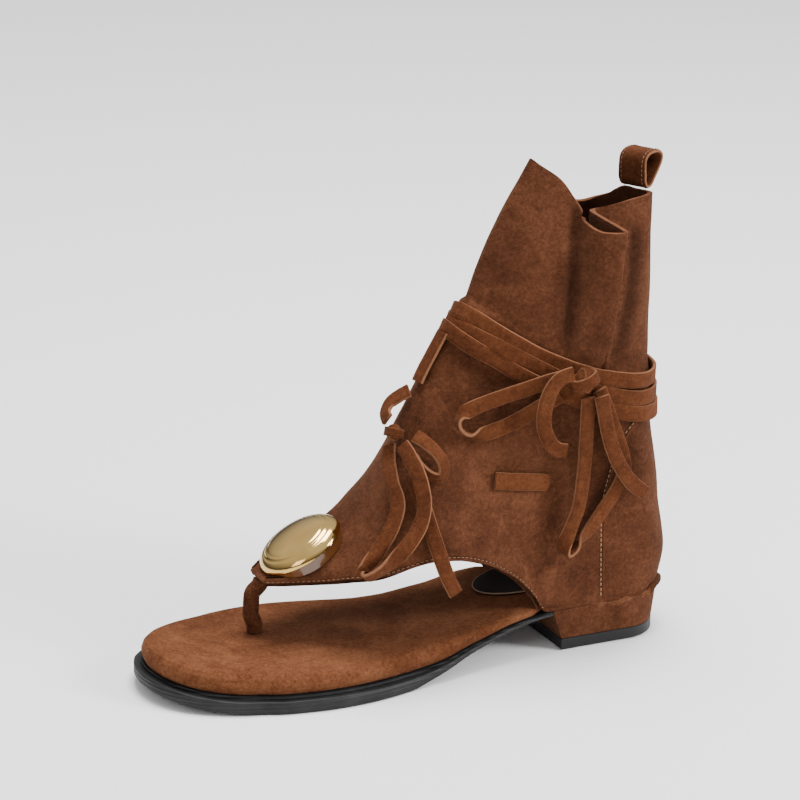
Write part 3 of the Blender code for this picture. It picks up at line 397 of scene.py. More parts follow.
def heel_ring(level):
    """Outline of the heel at a level from 0, at the top lift, to 1, at the heel seat."""
    seat = outline(sole_half, SEAT_BACK, BREAST, lambda x: 0.0, support_z)
    along = (LIFT_BACK - LIFT_FRONT) / (SEAT_BACK - BREAST)
    across = LIFT_HALF / sole_half(-1, BREAST)
    foot = [Vector((LIFT_FRONT + (p.x - BREAST) * along, p.y * across, LIFT_HEIGHT + GAP)) for p in seat]
    return [low.lerp(high, level) for low, high in zip(foot, seat)]


def heel_back(z):
    """Back of the heel cup and of the ankle at a height."""
    heights = [place_z(share) for share in column(UPPER, UPPER_COLUMNS, "edge_z")[FIRST_CLOSED:]]
    places = [place_x(share) for share in column(UPPER, UPPER_COLUMNS, "edge_x")[FIRST_CLOSED:]]
    return smooth(heights, places, z)


def skin(row, across):
    """Point of the upper's outer face below the folded shaft.

    row counts the sections of UPPER, broken numbers lie between two of them. across runs from the
    outer edge, -1, over the ridge, 0, to the inner edge, 1.
    """
    t = abs(across)
    ridge = Vector((place_x(upper_value("ridge_x", row)), 0, place_z(upper_value("ridge_z", row))))
    edge = Vector((place_x(upper_value("edge_x", row)), 0, place_z(upper_value("edge_z", row))))
    point = ridge.lerp(edge, t)
    bulk = upper_value("bulk", row)
    spread = 1 - min(t / upper_value("reach", row), 1.0)
    front = (1 - spread ** bulk) ** (1 / bulk)
    half = upper_value("half", row) * BALL_WIDTH * front * heel_rounding(point.x, heel_back(point.z))
    point.y = upper_value("shift", row) * BALL_WIDTH + math.copysign(half, across)
    point.z = max(point.z, support_z(point.x) + GAP)
    return point


def skin_frame(row, across):
    """Point and outward normal of the upper's outer face."""
    def around(place):
        if row >= FIRST_CLOSED and abs(place) > 1:
            place -= math.copysign(2, place)
        return skin(row, min(max(place, -1.0), 1.0))

    side = around(across + NUDGE) - around(across - NUDGE)
    up = skin(row + NUDGE, across) - skin(row - NUDGE, across)
    normal = up.cross(side)
    return skin(row, across), normal.normalized()


def on_skin(across, z, lift):
    """Point and normal over the ankle at a height, at a distance from the skin."""
    low, high = float(BAND_FROM), float(len(UPPER) - 1)
    for _ in range(24):
        middle = (low + high) / 2
        if skin(middle, across).z < z:
            low = middle
        else:
            high = middle
    point, normal = skin_frame(low, across)
    return point + normal * lift, normal


def blend_rows(points, steps, closed):
    """Smooth run of vectors through the given ones, with a number of steps between two of them."""
    count = len(points)
    run = []
    for i in range(count if closed else count - 1):
        a, b, c, d = (points[j % count] if closed else points[min(max(j, 0), count - 1)]
                      for j in (i - 1, i, i + 1, i + 2))
        for step in range(steps):
            t = step / steps
            run.append(b + (c - a) * (t / 2) + (a * 2 - b * 5 + c * 4 - d) * (t * t / 2)
                       + (b * 3 - a - c * 3 + d) * (t ** 3 / 2))
    if not closed:
        run.append(points[-1].copy())
    return run


def fold_places():
    """Places across the skin for each column of the upper's mesh, outer back to inner back."""
    shares = column(FOLDS, FOLD_COLUMNS, "t")
    folds = [-share for share in shares[:RIDGE_FOLD]] + shares[RIDGE_FOLD:] + [1.0]
    count = (len(folds) - 1) * FOLD_STEPS
    return [smooth(list(range(len(folds))), folds, i / FOLD_STEPS) for i in range(count + 1)]


def shaft_ring(level):
    """Ring of the folded shaft from the ankle, 0, to the collar, 1."""
    folds = []
    for t, ankle_x, ankle_y, ankle_z, collar_x, collar_y, collar_z in FOLDS:
        ankle = Vector((place_x(ankle_x), ankle_y * BALL_WIDTH, place_z(ankle_z)))
        collar = Vector((place_x(collar_x), collar_y * BALL_WIDTH, place_z(collar_z)))
        point = ankle.lerp(collar, level)
        point.x -= FRONT_BELLY * LENGTH * math.sin(math.pi * level) * max(1 - 2 * t, 0.0)
        folds.append(point)
    ring = blend_rows(folds, FOLD_STEPS, True)
    return ring + [ring[0]]


def vectors(places):
    """Points in metres from a route in millimetres."""
    return [Vector(place) * MM for place in places]


def ornament_frame():
    """Middle, length, width and outward directions of the ornament on the vamp's ridge."""
    front, back = skin(ORNAMENT_FROM, 0), skin(ORNAMENT_TO, 0)
    front.y = back.y = (front.y + back.y) / 2
    width = Vector((0, 1, 0))
    length = Matrix.Rotation(-ORNAMENT_TILT, 3, width) @ (back - front).normalized()
    out = length.cross(width)
    peak = max((skin(ORNAMENT_FROM + (ORNAMENT_TO - ORNAMENT_FROM) * i / 10, 0) - front).dot(out)
               for i in range(11))
    return (front + back) / 2 + out * peak, length, width, out


def oval(middle, length, width, share):
    """Ring of the ornament's outline at a share of its size."""
    ring = []
    for i in range(ORNAMENT_COUNT):
        turn = 2 * math.pi * i / ORNAMENT_COUNT
        ring.append(middle + length * (math.cos(turn) * ORNAMENT_LENGTH / 2 * share)
                    + width * (math.sin(turn) * ORNAMENT_WIDTH / 2 * share))
    return ring


ROW_STEPS = 4                # mesh rows between two sections of the upper
SHAFT_STEPS = 26
JOIN_STEPS = 4               # mesh rows behind the ankle straps
CUT_OUT_ROWS = 13.5          # sections that end on an open edge
SEAM = ((19.0, -11.0), (30.0, -11.5), (45.0, -12.0), (63.0, -12.5), (80.0, -10.0), (95.0, -4.5),
        (103.0, 2.5), (107.0, 10.0), (108.5, 19.0))   # height and x of the heel seam, mm
SEAM_TOP = 108.0
SEAM_STEP = 0.7              # drop of the suede behind the seam, mm
SEAM_RUN = 0.9               # length over which it drops, mm
STITCH_INSET = 1.4 * MM      # heel stitches in front of the seam
EDGE_INSET = 2.2 * MM        # cut-out stitches behind the edge
SEAM_ROWS = 60
SEAM_LOW, SEAM_RISE = 23, 80   # lowest stitch and its run upwards, mm

# Relief of the suede in mm: rise or depth, place behind an open edge, spread
EDGE_REACH = 40
FAR_IN = 99.0
LIP = (0.32, 0.9, 0.8)
GROOVE = (0.4, 2.2, 0.45)
# Painted shade in the groove: how much darker, place behind an open edge and spread in mm.
GROOVE_SHADE = (0.35, 2.3, 0.5)
SOFT_RELIEF = ((0.5, 38), (0.18, 110))   # height in mm and noise scale
CALM_EDGE = 12               # mm behind an open edge without soft relief
CALM_FOOT = (24, 10)         # height in mm where soft relief starts, and its run
DEEPEST_SHADE = 0.85


CAMERA_PLACE = (-0.7267, -1.2998, 0.5903)
CAMERA_RIGHT = (0.9027, -0.4299, 0.0177)
CAMERA_UP = (0.1191, 0.2893, 0.9498)
CAMERA_BACK = (-0.4135, -0.8553, 0.3123)
CAMERA_LENS = 160.74

# Soft folds as seen by the camera: columns and rows down each, half width in pixels, depth in mm,
# and how much painted shade darkens the suede in it.
CREASES = (
    (((574, 212), (573, 250), (570, 300), (565, 350)), 5.0, 1.5, 0.50),
    (((634, 236), (631, 280), (622, 330), (613, 366)), 4.5, 0.9, 0.60),
    (((556, 260), (560, 300), (557, 345)), 9.0, 0.7, 0.12),
    (((592, 250), (594, 300), (590, 350)), 8.0, 0.6, 0.16),
    (((500, 215), (491, 250), (484, 290)), 8.0, 0.5, 0.10),
    (((470, 352), (500, 420), (540, 480)), 12.0, 0.5, 0.08),
    (((640, 395), (634, 425), (618, 470), (600, 505)), 9.0, 0.9, 0.28),
    (((590, 405), (583, 440), (572, 480)), 8.0, 0.6, 0.14),
    (((420, 440), (438, 480), (470, 520)), 9.0, 0.5, 0.12),
)


def finished(name, bm, *materials):
    """Smooth piece made from a bmesh, riding on the shoe."""
    bmesh.ops.recalc_face_normals(bm, faces=bm.faces)
    mesh = bpy.data.meshes.new(name)
    bm.to_mesh(mesh)
    bm.free()
    mesh.shade_smooth()
    item = bpy.data.objects.new(name, mesh)
    for material in materials:
        mesh.materials.append(material)
    bpy.context.scene.collection.objects.link(item)
    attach(item, "root")
    return item


def bevel(item, width, angle=40, segments=2):
    change = item.modifiers.new("round", "BEVEL")
    change.width = width
    change.segments = segments
    change.angle_limit = math.radians(angle)
    change.harden_normals = False
    return item


def sharp(item, angle=40):
    item.data.set_sharp_from_angle(angle=math.radians(angle))
    return item


class Nodes:
    """Short hand for a material's nodes."""

    def __init__(self, name):
        self.material = bpy.data.materials.new(name)
        self.material.use_nodes = True
        self.tree = self.material.node_tree
        self.shader = self.tree.nodes["Principled BSDF"]
        self.coords = self.tree.nodes.new("ShaderNodeTexCoord").outputs["Object"]

    def add(self, kind, **values):
        node = self.tree.nodes.new(kind)
        for key, value in values.items():
            setattr(node, key, value)
        return node

    def link(self, out, into):
        self.tree.links.new(out, into)

    def noise(self, scale, detail=2.0, rough=0.5, coords=None, distortion=0.0):
        node = self.add("ShaderNodeTexNoise")
        node.inputs["Scale"].default_value = scale
        node.inputs["Detail"].default_value = detail
        node.inputs["Roughness"].default_value = rough
        node.inputs["Distortion"].default_value = distortion
        self.link(coords or self.coords, node.inputs["Vector"])
        return node.outputs["Fac"]

    def stretched(self, scale):
        node = self.add("ShaderNodeMapping")
        node.inputs["Scale"].default_value = scale
        self.link(self.coords, node.inputs["Vector"])
        return node.outputs["Vector"]

    def ramp(self, fac, *stops):
        node = self.add("ShaderNodeValToRGB")
        elements = node.color_ramp.elements
        while len(elements) < len(stops):
            elements.new(0.5)
        for element, (place, colour) in zip(elements, stops):
            element.position = place
            element.color = (*colour, 1)
        self.link(fac, node.inputs["Fac"])
        return node.outputs["Color"]

    def mix(self, fac, a, b, mode="MIX"):
        node = self.add("ShaderNodeMix", data_type="RGBA", blend_type=mode)
        for value, slot in ((fac, 0), (a, 6), (b, 7)):
            if isinstance(value, bpy.types.NodeSocket):
                self.link(value, node.inputs[slot])
            elif isinstance(value, tuple):
                node.inputs[slot].default_value = (*value, 1)
            else:
                node.inputs[slot].default_value = value
        return node.outputs[2]

    def math(self, kind, a, b=0.0, clamp=False):
        node = self.add("ShaderNodeMath", operation=kind, use_clamp=clamp)
        for value, slot in ((a, 0), (b, 1)):
            if isinstance(value, bpy.types.NodeSocket):
                self.link(value, node.inputs[slot])
            else:
                node.inputs[slot].default_value = value
        return node.outputs[0]

    def attribute(self, name):
        return self.add("ShaderNodeAttribute", attribute_name=name).outputs["Fac"]

    def bump(self, height, strength, distance, before=None):
        node = self.add("ShaderNodeBump")
        node.inputs["Strength"].default_value = strength
        node.inputs["Distance"].default_value = distance
        self.link(height, node.inputs["Height"])
        if before is not None:
            self.link(before, node.inputs["Normal"])
        return node.outputs["Normal"]

    def set(self, **values):
        for key, value in values.items():
            slot = self.shader.inputs[key.replace("_", " ")]
            if isinstance(value, bpy.types.NodeSocket):
                self.link(value, slot)
            else:
                slot.default_value = value
        return self.material


def suede(name, dark, middle, light, patch=1.0, edge=None):
    """Napped suede: brushed patches, short fibres, paler fibres where "edge" is painted, and painted
    shade where "shade" is painted.
    """
    n = Nodes(name)
    broad = n.noise(32, 3, 0.6, distortion=0.6)
    brushed = n.noise(1, 4, 0.65, coords=n.stretched((150, 110, 230)), distortion=0.8)
    fibre = n.noise(1, 2, 0.7, coords=n.stretched((1500, 1500, 2600)))
    speck = n.noise(620, 3, 0.7)
    value = n.math("ADD", n.math("MULTIPLY", broad, 0.62 * patch), n.math("MULTIPLY", brushed, 0.38))
    value = n.math("ADD", value, n.math("MULTIPLY", n.math("SUBTRACT", speck, 0.5), 0.55))
    value = n.math("ADD", value, n.math("MULTIPLY", n.math("SUBTRACT", fibre, 0.5), 0.35))
    colour = n.ramp(value, (0.22, dark), (0.5, middle), (0.8, light))
    if edge is not None:
        ragged = n.math("MULTIPLY", n.attribute("edge"), n.math("ADD", 0.45, speck), True)
        colour = n.mix(ragged, colour, edge)
    # Painted shade: the colour darkens towards a quarter of the dark tone where the "shade" attribute is
    # painted.
    shade = n.attribute("shade")
    colour = n.mix(shade, colour, tuple(0.25 * c for c in dark))
    normal = n.bump(speck, 0.55, 0.0009)
    normal = n.bump(fibre, 0.5, 0.0006, normal)
    normal = n.bump(brushed, 0.25, 0.0012, normal)
    return n.set(Base_Color=colour, Normal=normal, Roughness=0.94, Sheen_Weight=0.08,
                 Sheen_Roughness=0.35, Sheen_Tint=(0.80, 0.45, 0.27, 1), Specular_IOR_Level=0.08)


def plain_looks(name, colour, roughness, **values):
    """Finish with a little uneven tone."""
    n = Nodes(name)
    tone = n.noise(90, 3)
    fine = n.noise(900, 2)
    mixed = n.mix(n.math("MULTIPLY", tone, 0.5), colour, tuple(c * 1.7 + 0.004 for c in colour))
    return n.set(Base_Color=mixed, Roughness=roughness, Normal=n.bump(fine, 0.2, 0.0004), **values)


def ribbed_rubber():
    """Sole rubber with fine ribs round its wall."""
    n = Nodes("sole_rubber")
    wave = n.add("ShaderNodeTexWave", bands_direction="Z")
    wave.inputs["Scale"].default_value = 190
    wave.inputs["Distortion"].default_value = 0.0
    n.link(n.coords, wave.inputs["Vector"])
    tone = n.noise(120, 3)
    colour = n.ramp(tone, (0.3, (0.004, 0.004, 0.0045)), (0.75, (0.014, 0.0138, 0.014)))
    normal = n.bump(wave.outputs["Fac"], 0.35, 0.0006)
    return n.set(Base_Color=colour, Roughness=0.55, Specular_IOR_Level=0.3,
                 Normal=n.bump(n.noise(1200, 2), 0.25, 0.0003, normal))


def gold_metal():
    n = Nodes("gold")
    tone = n.noise(45, 2)
    colour = n.ramp(tone, (0.3, (0.50, 0.30, 0.085)), (0.7, (0.72, 0.49, 0.18)))
    return n.set(Base_Color=colour, Metallic=1.0, Roughness=0.11)


def paint(item, name, values):
    """Store one number per vertex."""
    layer = item.data.attributes.new(name, "FLOAT", "POINT")
    layer.data.foreach_set("value", values)


def stitches(name, points, normals, pitch, length, radius, material):
    """Row of sewn stitches along points, each a rounded thread end to end."""
    bm = bmesh.new()
    travelled, target = 0.0, pitch / 2
    for a, b, normal in zip(points, points[1:], normals):
        step = (b - a).length
        while step > 0 and travelled + step >= target:
            at = a.lerp(b, (target - travelled) / step)
            way = (b - a).normalized()
            side = way.cross(normal).normalized()
            face = side.cross(way)
            rings = []
            for share, wide in ((-0.5, 0.45), (-0.3, 0.95), (0.0, 1.0), (0.3, 0.95), (0.5, 0.45)):
                lift = radius * (0.9 - 3.2 * share * share)
                rings.append([at + way * (share * length) + face * (lift + math.sin(turn) * radius * wide)
                              + side * (math.cos(turn) * radius * wide)
                              for turn in (k * math.pi / 3 for k in range(6))])
            levels = walls(bm, rings)
            bm.faces.new(levels[0])
            bm.faces.new(levels[-1])
            target += pitch
        travelled += step
    return finished(name, bm, material)


def strap_mesh(bm, points, normals, width, thickness, closed, edges, widths=None, roll=0.0):
    """Flat strap with rounded edges. edges collects 1 for the vertices on its cut edges."""
    section = ((-1.0, -0.55), (-0.93, -1.0), (0.0, -1.0), (0.93, -1.0), (1.0, -0.55), (1.0, 0.55),
               (0.93, 1.0), (0.45, 1.0), (-0.45, 1.0), (-0.93, 1.0), (-1.0, 0.55))
    rings = []
    count = len(points)
    travelled = 0.0
    for i, (point, normal) in enumerate(zip(points, normals)):
        before = points[i - 1] if closed or i else point
        after = points[(i + 1) % count] if closed or i < count - 1 else point
        travelled += (point - points[max(i - 1, 0)]).length
        way = (after - before).normalized()
        side = way.cross(normal).normalized()
        face = side.cross(way)
        angle = roll * math.sin(travelled * 90)
        side, face = (side * math.cos(angle) + face * math.sin(angle),
                      face * math.cos(angle) - side * math.sin(angle))
        half = width / 2 * (widths[i] if widths else 1.0)
        half *= 1 + 0.05 * noise.noise(point * 160)
        rings.append([point + side * (half * a) + face * (thickness / 2 * b) for a, b in section])
    levels = walls(bm, rings + rings[:1] if closed else rings)
    if not closed:
        bm.faces.new(levels[0])
        bm.faces.new(levels[-1])
    for level in levels:
        edges += [1.0 if abs(a) > 0.99 else 0.0 for a, b in section]
    return bm


def strap(name, points, normals, width, thickness, closed, *materials, widths=None, roll=0.0):
    bm = bmesh.new()
    edges = []
    strap_mesh(bm, points, normals, width, thickness, closed, edges, widths, roll)
    item = finished(name, bm, *materials)
    paint(item, "edge", edges)
    return item


def cut_out_places(side, inset, start=0.0, end=12.9, count=90):
    """Points and normals along an open edge of the upper, an inset from it."""
    points, normals = [], []
    for i in range(count + 1):
        row = start + (end - start) * i / count
        length = (skin(row, 0) - skin(row, side)).length
        point, normal = skin_frame(row, side * (1 - inset / length))
        points.append(point)
        normals.append(normal)
    return points, normals


def seam_x(z):
    return smooth([a for a, b in SEAM], [b for a, b in SEAM], z / MM) * MM


def on_side(side, x, z):
    """Point and normal of the skin on one side at x and z, found by halving."""
    def at(across):
        low, high = 13.0, 26.5
        for _ in range(22):
            middle = (low + high) / 2
            if skin(middle, side * across).z < z:
                low = middle
            else:
                high = middle
        return low

    near, far = 0.25, 0.995
    for _ in range(18):
        across = (near + far) / 2
        if skin(at(across), side * across).x < x:
            near = across
        else:
            far = across
    return skin_frame(at(across), side * across)


def in_picture(point):
    """Column and row of a point in the camera's 800-pixel picture."""
    away = point - Vector(CAMERA_PLACE)
    depth = -away.dot(Vector(CAMERA_BACK))
    zoom = 800 * CAMERA_LENS / 36 / depth
    return 400 + away.dot(Vector(CAMERA_RIGHT)) * zoom, 400 - away.dot(Vector(CAMERA_UP)) * zoom


def crease(point, line, width):
    """Depth and shade of a drawn crease at a point, 1 on it, fading at its two ends.

    The shade reaches further to the right than to the left.
    """
    column_at, row_at = in_picture(point)
    rows = [b for a, b in line]
    if not rows[0] - 12 < row_at < rows[-1] + 12:
        return 0.0, 0.0
    middle = smooth(rows, [a for a, b in line], min(max(row_at, rows[0]), rows[-1]))
    fade = min(max((row_at - rows[0]) / 14 + 1, 0.0), 1.0)
    fade *= min(max((rows[-1] - row_at) / 30 + 0.4, 0.0), 1.0)
    off = (column_at - middle) / width
    return fade * math.exp(-off * off), fade * math.exp(-off * off / (1 if off < 0 else 9))


def mound(size, middle, spread, at):
    """Height of a rounded ridge beside its middle."""
    return size * math.exp(-((at - middle) / spread) ** 2)


def upper_piece(outside, inside, rim):
    """The suede shell in fine mesh, with its seam step, turned edges, dents and soft folds, and painted
    shade in its grooves and creases.
    """
    places = fold_places()
    rows, distances = [], []
    for i in range(ANKLE * ROW_STEPS + 1):
        row = i / ROW_STEPS
        rows.append([skin(row, place) for place in places])
        length = (skin(row, 0) - skin(row, 1)).length
        far = CUT_OUT_ROWS if row > CUT_OUT_ROWS else 0
        distances.append([(1 - abs(place)) * length / MM + EDGE_REACH * max(row - far, 0) * (far > 0)
                          for place in places])
    low, high = rows[-1], shaft_ring(0.0)
    for i in range(1, JOIN_STEPS):
        rows.append([a.lerp(b, i / JOIN_STEPS) for a, b in zip(low, high)])
        distances.append([FAR_IN] * len(places))
    for i in range(SHAFT_STEPS + 1):
        level = i / SHAFT_STEPS
        rows.append(shaft_ring(level))
        distances.append([FAR_IN] * len(places))
    bm = bmesh.new()
    lip = bm.verts.layers.float.new("lip")
    grid = []
    for line, far in zip(rows, distances):
        verts = []
        for point, d in zip(line, far):
            vert = bm.verts.new(point)
            vert[lip] = d
            verts.append(vert)
        grid.append(verts)
    for low, high in zip(grid, grid[1:]):
        for i in range(len(low) - 1):
            bm.faces.new((low[i], high[i], high[i + 1], low[i + 1]))
    bmesh.ops.remove_doubles(bm, verts=bm.verts, dist=MERGE)
    bmesh.ops.recalc_face_normals(bm, faces=bm.faces)
    bm.normal_update()
    front = max(bm.verts, key=lambda v: -v.co.x)
    turned = 1.0 if front.normal.x < 0 else -1.0
    shades = []
    for vert in bm.verts:
        p, d = vert.co.copy(), vert[lip]
        x, z = p.x / MM, p.z / MM
        amount = sum(height * noise.noise(p * scale) for height, scale in SOFT_RELIEF)
        amount *= min(d / CALM_EDGE, 1.0) * min(max((z - CALM_FOOT[0]) / CALM_FOOT[1], 0.0), 1.0)
        # Painted shade: the "shade" attribute darkens the suede in the groove behind an open edge and
        # along the creases.
        shade = 0.0
        if d < EDGE_REACH:
            amount += mound(*LIP, d) - mound(*GROOVE, d)
            shade = mound(*GROOVE_SHADE, d)
        if vert.normal.dot(Vector(CAMERA_BACK)) * turned > 0.1:
            for line, width, deep, dark in CREASES:
                near, wide = crease(p, line, width)
                amount -= deep * near
                shade += dark * wide
        if z < SEAM_TOP:
            gap = x - seam_x(p.z) / MM
            behind = min(max(gap / SEAM_RUN, 0.0), 1.0)
            amount -= SEAM_STEP * behind * min(max((SEAM_TOP - z) / 3, 0.0), 1.0)
        vert.co += vert.normal * (turned * amount * MM)
        shades.append(min(shade, DEEPEST_SHADE))
    item = finished("suede_upper", bm, outside, inside, rim)
    paint(item, "shade", shades)
    shell = item.modifiers.new("wall", "SOLIDIFY")
    shell.thickness = WALL
    shell.offset = -1
    shell.material_offset = 1
    shell.material_offset_rim = 2
    bevel(item, 0.0006, 60)
    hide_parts("upper")


def sole_pieces(rubber, cover, bare, light):
    """Outsole with its ledge, wrapped footbed and heel pad."""
    def share(name, x):
        return sole(name, along_of(x))

    def ledge(x):
        return share("ledge", x) * LEDGE

    def ledge_z(x):
        return support_z(x) - share("rubber", x) * RUBBER_STEP

    def rings_of(steps, start, end, half=sole_half):
        return [outline(half, start, end, inset, height) for inset, height in steps]

    steps = (
        (lambda x: CHAMFER, under_z),
        (lambda x: CHAMFER * 0.3, lambda x: under_z(x) + CHAMFER * 0.3 * share("rubber", x)),
        (lambda x: 0.0, lambda x: under_z(x) + CHAMFER * share("rubber", x)),
        (lambda x: 0.0, lambda x: ledge_z(x) - 0.4 * MM * share("rubber", x)),
        (lambda x: 0.25 * MM * share("ledge", x), lambda x: ledge_z(x) - 0.1 * MM * share("rubber", x)),
        (lambda x: ledge(x) * 0.3, ledge_z),
        (ledge, ledge_z),
        (ledge, support_z),
    )
    outsole = sharp(closed_slab("rubber_sole", rings_of(steps, BREAST, place_x(1)), False, rubber), 50)
    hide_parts("outsole")

    rolls = [(inset, level) for inset, level in BED_ROLL]
    insets, levels = [a for a, b in rolls], [b for a, b in rolls]
    fine = []
    for i in range(21):
        at = i / 20 * (len(rolls) - 1)
        k = min(int(at), len(rolls) - 2)
        fine.append((insets[k] + (insets[k + 1] - insets[k]) * (at - k),
                     levels[k] + (levels[k + 1] - levels[k]) * (at - k)))
    rings = [outline(sole_half, SEAT_BACK, place_x(1),
                     lambda x, roll=roll: footbed_inset(x) + roll * CUSHION,
                     lambda x, level=level: support_z(x) + GAP + level * (bed_z(x) - support_z(x) - GAP))
             for roll, level in fine]
    bed = closed_slab("suede_footbed", rings, True, cover)
    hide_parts("footbed")

    back = SEAT_BACK - WALL - CUP_CLEARANCE - PAD_MARGIN
    middle = back - PAD_LENGTH / 2

    def half(side, x):
        return PAD_WIDTH / 2 * math.sqrt(1 - min(abs(x - middle) / (PAD_LENGTH / 2), 1.0) ** 3)

    rings = []
    for inset, level in ((0.0, 0.0), (0.0, 0.5), (0.2 * MM, 0.8), (0.7 * MM, 1.0)):
        ring = outline(half, back, back - PAD_LENGTH, lambda x, inset=inset: inset,
                       lambda x, level=level: bed_z(x) + GAP + level * PAD_THICKNESS)
        rings.append([point + Vector((0, PAD_SHIFT, 0)) for point in ring])
    pad = closed_slab("heel_pad", rings, True, bare)
    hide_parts("insole_pad")
    ring = [point + Vector((0, 0, 0.15 * MM)) for point in rings[1]]
    trim = strap("heel_pad_edge", ring, [Vector((0, 0, 1))] * len(ring), 0.5 * MM, 0.5 * MM, True, light)
    return outsole, bed, pad, trim


def closed_slab(name, rings, round_start, material):
    """Solid through outlines one above another, with smooth ends."""
    bm = bmesh.new()
    levels = walls(bm, rings)
    count = len(rings[0])
    shift = 0 if round_start else -1
    for level in (levels[0], levels[-1]):
        for i in range(COUNT):
            corners = (level[i], level[i + 1], level[(count + shift - i - 1) % count],
                       level[(count + shift - i) % count])
            bm.faces.new(list(dict.fromkeys(corners)))
    return finished(name, bm, material)


def heel_pieces(cover, rubber):
    rings = [heel_ring(level) for level in (0.0, 0.02, 0.2, 0.4, 0.6, 0.8, 0.98, 1.0)]
    block = bevel(sharp(closed_slab("suede_heel", rings, True, cover), 50), 0.0007, 50)
    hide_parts("heel_block")
    base = heel_ring(0.0)
    middle = Vector(((LIFT_FRONT + LIFT_BACK) / 2, 0, 0))
    inner = [middle + (p - middle) * (1 - CHAMFER / LIFT_HALF) for p in base]
    rings = [[Vector((p.x, p.y, 0)) for p in inner], [Vector((p.x, p.y, CHAMFER)) for p in base],
             [Vector((p.x, p.y, LIFT_HEIGHT)) for p in base]]
    lift = sharp(closed_slab("heel_lift", rings, True, rubber), 30)
    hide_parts("top_lift")
    return block, lift


def post_piece(cover):
    """Suede tube of the toe post with a faint join along its back."""
    x = POST_ROUTE[0][0] * MM
    foot = max(bed_z(x - POST_WIDTH / 2), bed_z(x + POST_WIDTH / 2)) + GAP
    run = []
    for i in range(POST_STEPS + 1):
        level = i / POST_STEPS
        x, y = (smooth(POST_LEVELS, places, level) * MM for places in zip(*POST_ROUTE))
        run.append(Vector((x, y, foot + (POST_TOP - foot) * level)))
    bm = bmesh.new()
    rings = []
    for i, point in enumerate(run):
        way = (run[min(i + 1, POST_STEPS)] - run[max(i - 1, 0)]).normalized()
        side = way.cross(Vector((1, 0, 0))).normalized()
        face = side.cross(way)
        ring = []
        for k in range(24):
            turn = 2 * math.pi * k / 24
            radius = POST_WIDTH / 2 * (1 - 0.02 * math.exp(-((turn - 5.0) / 0.16) ** 2)
                                       + 0.03 * noise.noise(point * 300 + Vector((0, 0, turn))))
            ring.append(point + side * (math.cos(turn) * radius) + face * (math.sin(turn) * radius))
        rings.append(ring)
    levels = walls(bm, rings)
    bm.faces.new(levels[0])
    bm.faces.new(levels[-1])
    post = finished("suede_post", bm, cover)
    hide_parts("toe_post")
    return post


def ornament_pieces(gold, amber):
    """Polished dome with a plain grooved border over its amber seat."""
    middle, length, width, out = ornament_frame()
    base = middle + out * (ORNAMENT_SEAT + GAP)
    rings = [oval(base, length, width, 0.93), oval(base, length, width, 0.985),
             oval(base + out * 0.35 * MM, length, width, 1.0)]
    steps = 36
    for i in range(1, steps):
        turn = math.pi / 2 * i / steps
        share = math.cos(turn)
        lift = ORNAMENT_RISE * math.sin(turn)
        lift -= 0.5 * MM * math.exp(-((share - 0.80) / 0.022) ** 2)
        lift -= 0.3 * MM * math.exp(-((share - 0.70) / 0.014) ** 2)
        rings.append(oval(base + out * max(lift, 0.4 * MM), length, width, share))
    bm = bmesh.new()
    levels = walls(bm, rings)
    bm.faces.new(levels[0])
    top = bm.verts.new(base + out * ORNAMENT_RISE)
    last = levels[-1]
    for i in range(len(last)):
        bm.faces.new((last[i], last[(i + 1) % len(last)], top))
    dome = finished("gold_dome", bm, gold)
    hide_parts("ornament_dome")
    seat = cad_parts["ornament_base"]
    seat.data.materials.clear()
    seat.data.materials.append(amber)
    return dome


def ankle_pieces(cover):
    """Three turns of the strap round the ankle and the riser down to its hole."""
    bm = bmesh.new()
    edges = []
    for k, (front, back, out) in enumerate(BANDS):
        points, normals = [], []
        for i in range(BAND_COUNT):
            turn = 2 * math.pi * i / BAND_COUNT
            across = math.copysign((1 + math.cos(turn)) / 2, math.sin(turn - math.pi))
            rest = (1 - abs(across)) ** 2
            wave = 0.004 * math.sin(3 * turn + 2.1 * k) * math.sin(turn / 2) ** 2
            z = place_z(back + (front - back) * rest + wave)
            point, normal = on_skin(across, z, GAP + STRAP * (0.5 + out))
            points.append(point)
            normals.append(normal)
        strap_mesh(bm, points, normals, STRAP_WIDTH, STRAP, True, edges, roll=0.05)
    points = blend_rows(vectors(RISER_ROUTE), 8, False)
    faces = [Vector(RISER_FACE)] * len(points)
    strap_mesh(bm, points, faces, STRAP_WIDTH * 0.9, STRAP, False, edges)
    item = finished("ankle_straps", bm, cover)
    paint(item, "edge", edges)
    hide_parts("ankle_wraps")
    return item


def loop_piece(cover, thread):
    """Pull loop with a row of stitches near each edge."""
    rim = place_z(FOLDS[0][FOLD_COLUMNS.index("collar_z")])
    depth = Vector((math.cos(LOOP_TURN), math.sin(LOOP_TURN), 0))
    across_way = Vector((-depth.y, depth.x, 0))
    base = Vector((LOOP_X, 0, rim + GAP + LOOP_STRAP))
    corners = [base + depth * (across * LOOP_DEPTH) + Vector((0, 0, up * LOOP_HEIGHT))
               for across, up in LOOP]
    points = blend_rows(corners, 8, True)
    middle = sum(points, Vector()) / len(points)
    faces = []
    for i, point in enumerate(points):
        face = (points[(i + 1) % len(points)] - points[i - 1]).cross(across_way).normalized()
        faces.append(face if face.dot(point - middle) > 0 else -face)
    loop = strap("pull_loop_strap", points, faces, LOOP_WIDTH, LOOP_STRAP, True, cover)
    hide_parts("pull_loop")
    made = [loop]
    for side in (-1, 1):
        line = [p + f * (LOOP_STRAP / 2) + across_way * (side * (LOOP_WIDTH / 2 - 1.5 * MM))
                for p, f in zip(points, faces)]
        made.append(stitches("pull_loop_stitches_%d" % (side + 1), line, faces, 2.0 * MM, 1.4 * MM,
                             0.17 * MM, thread))
    return made


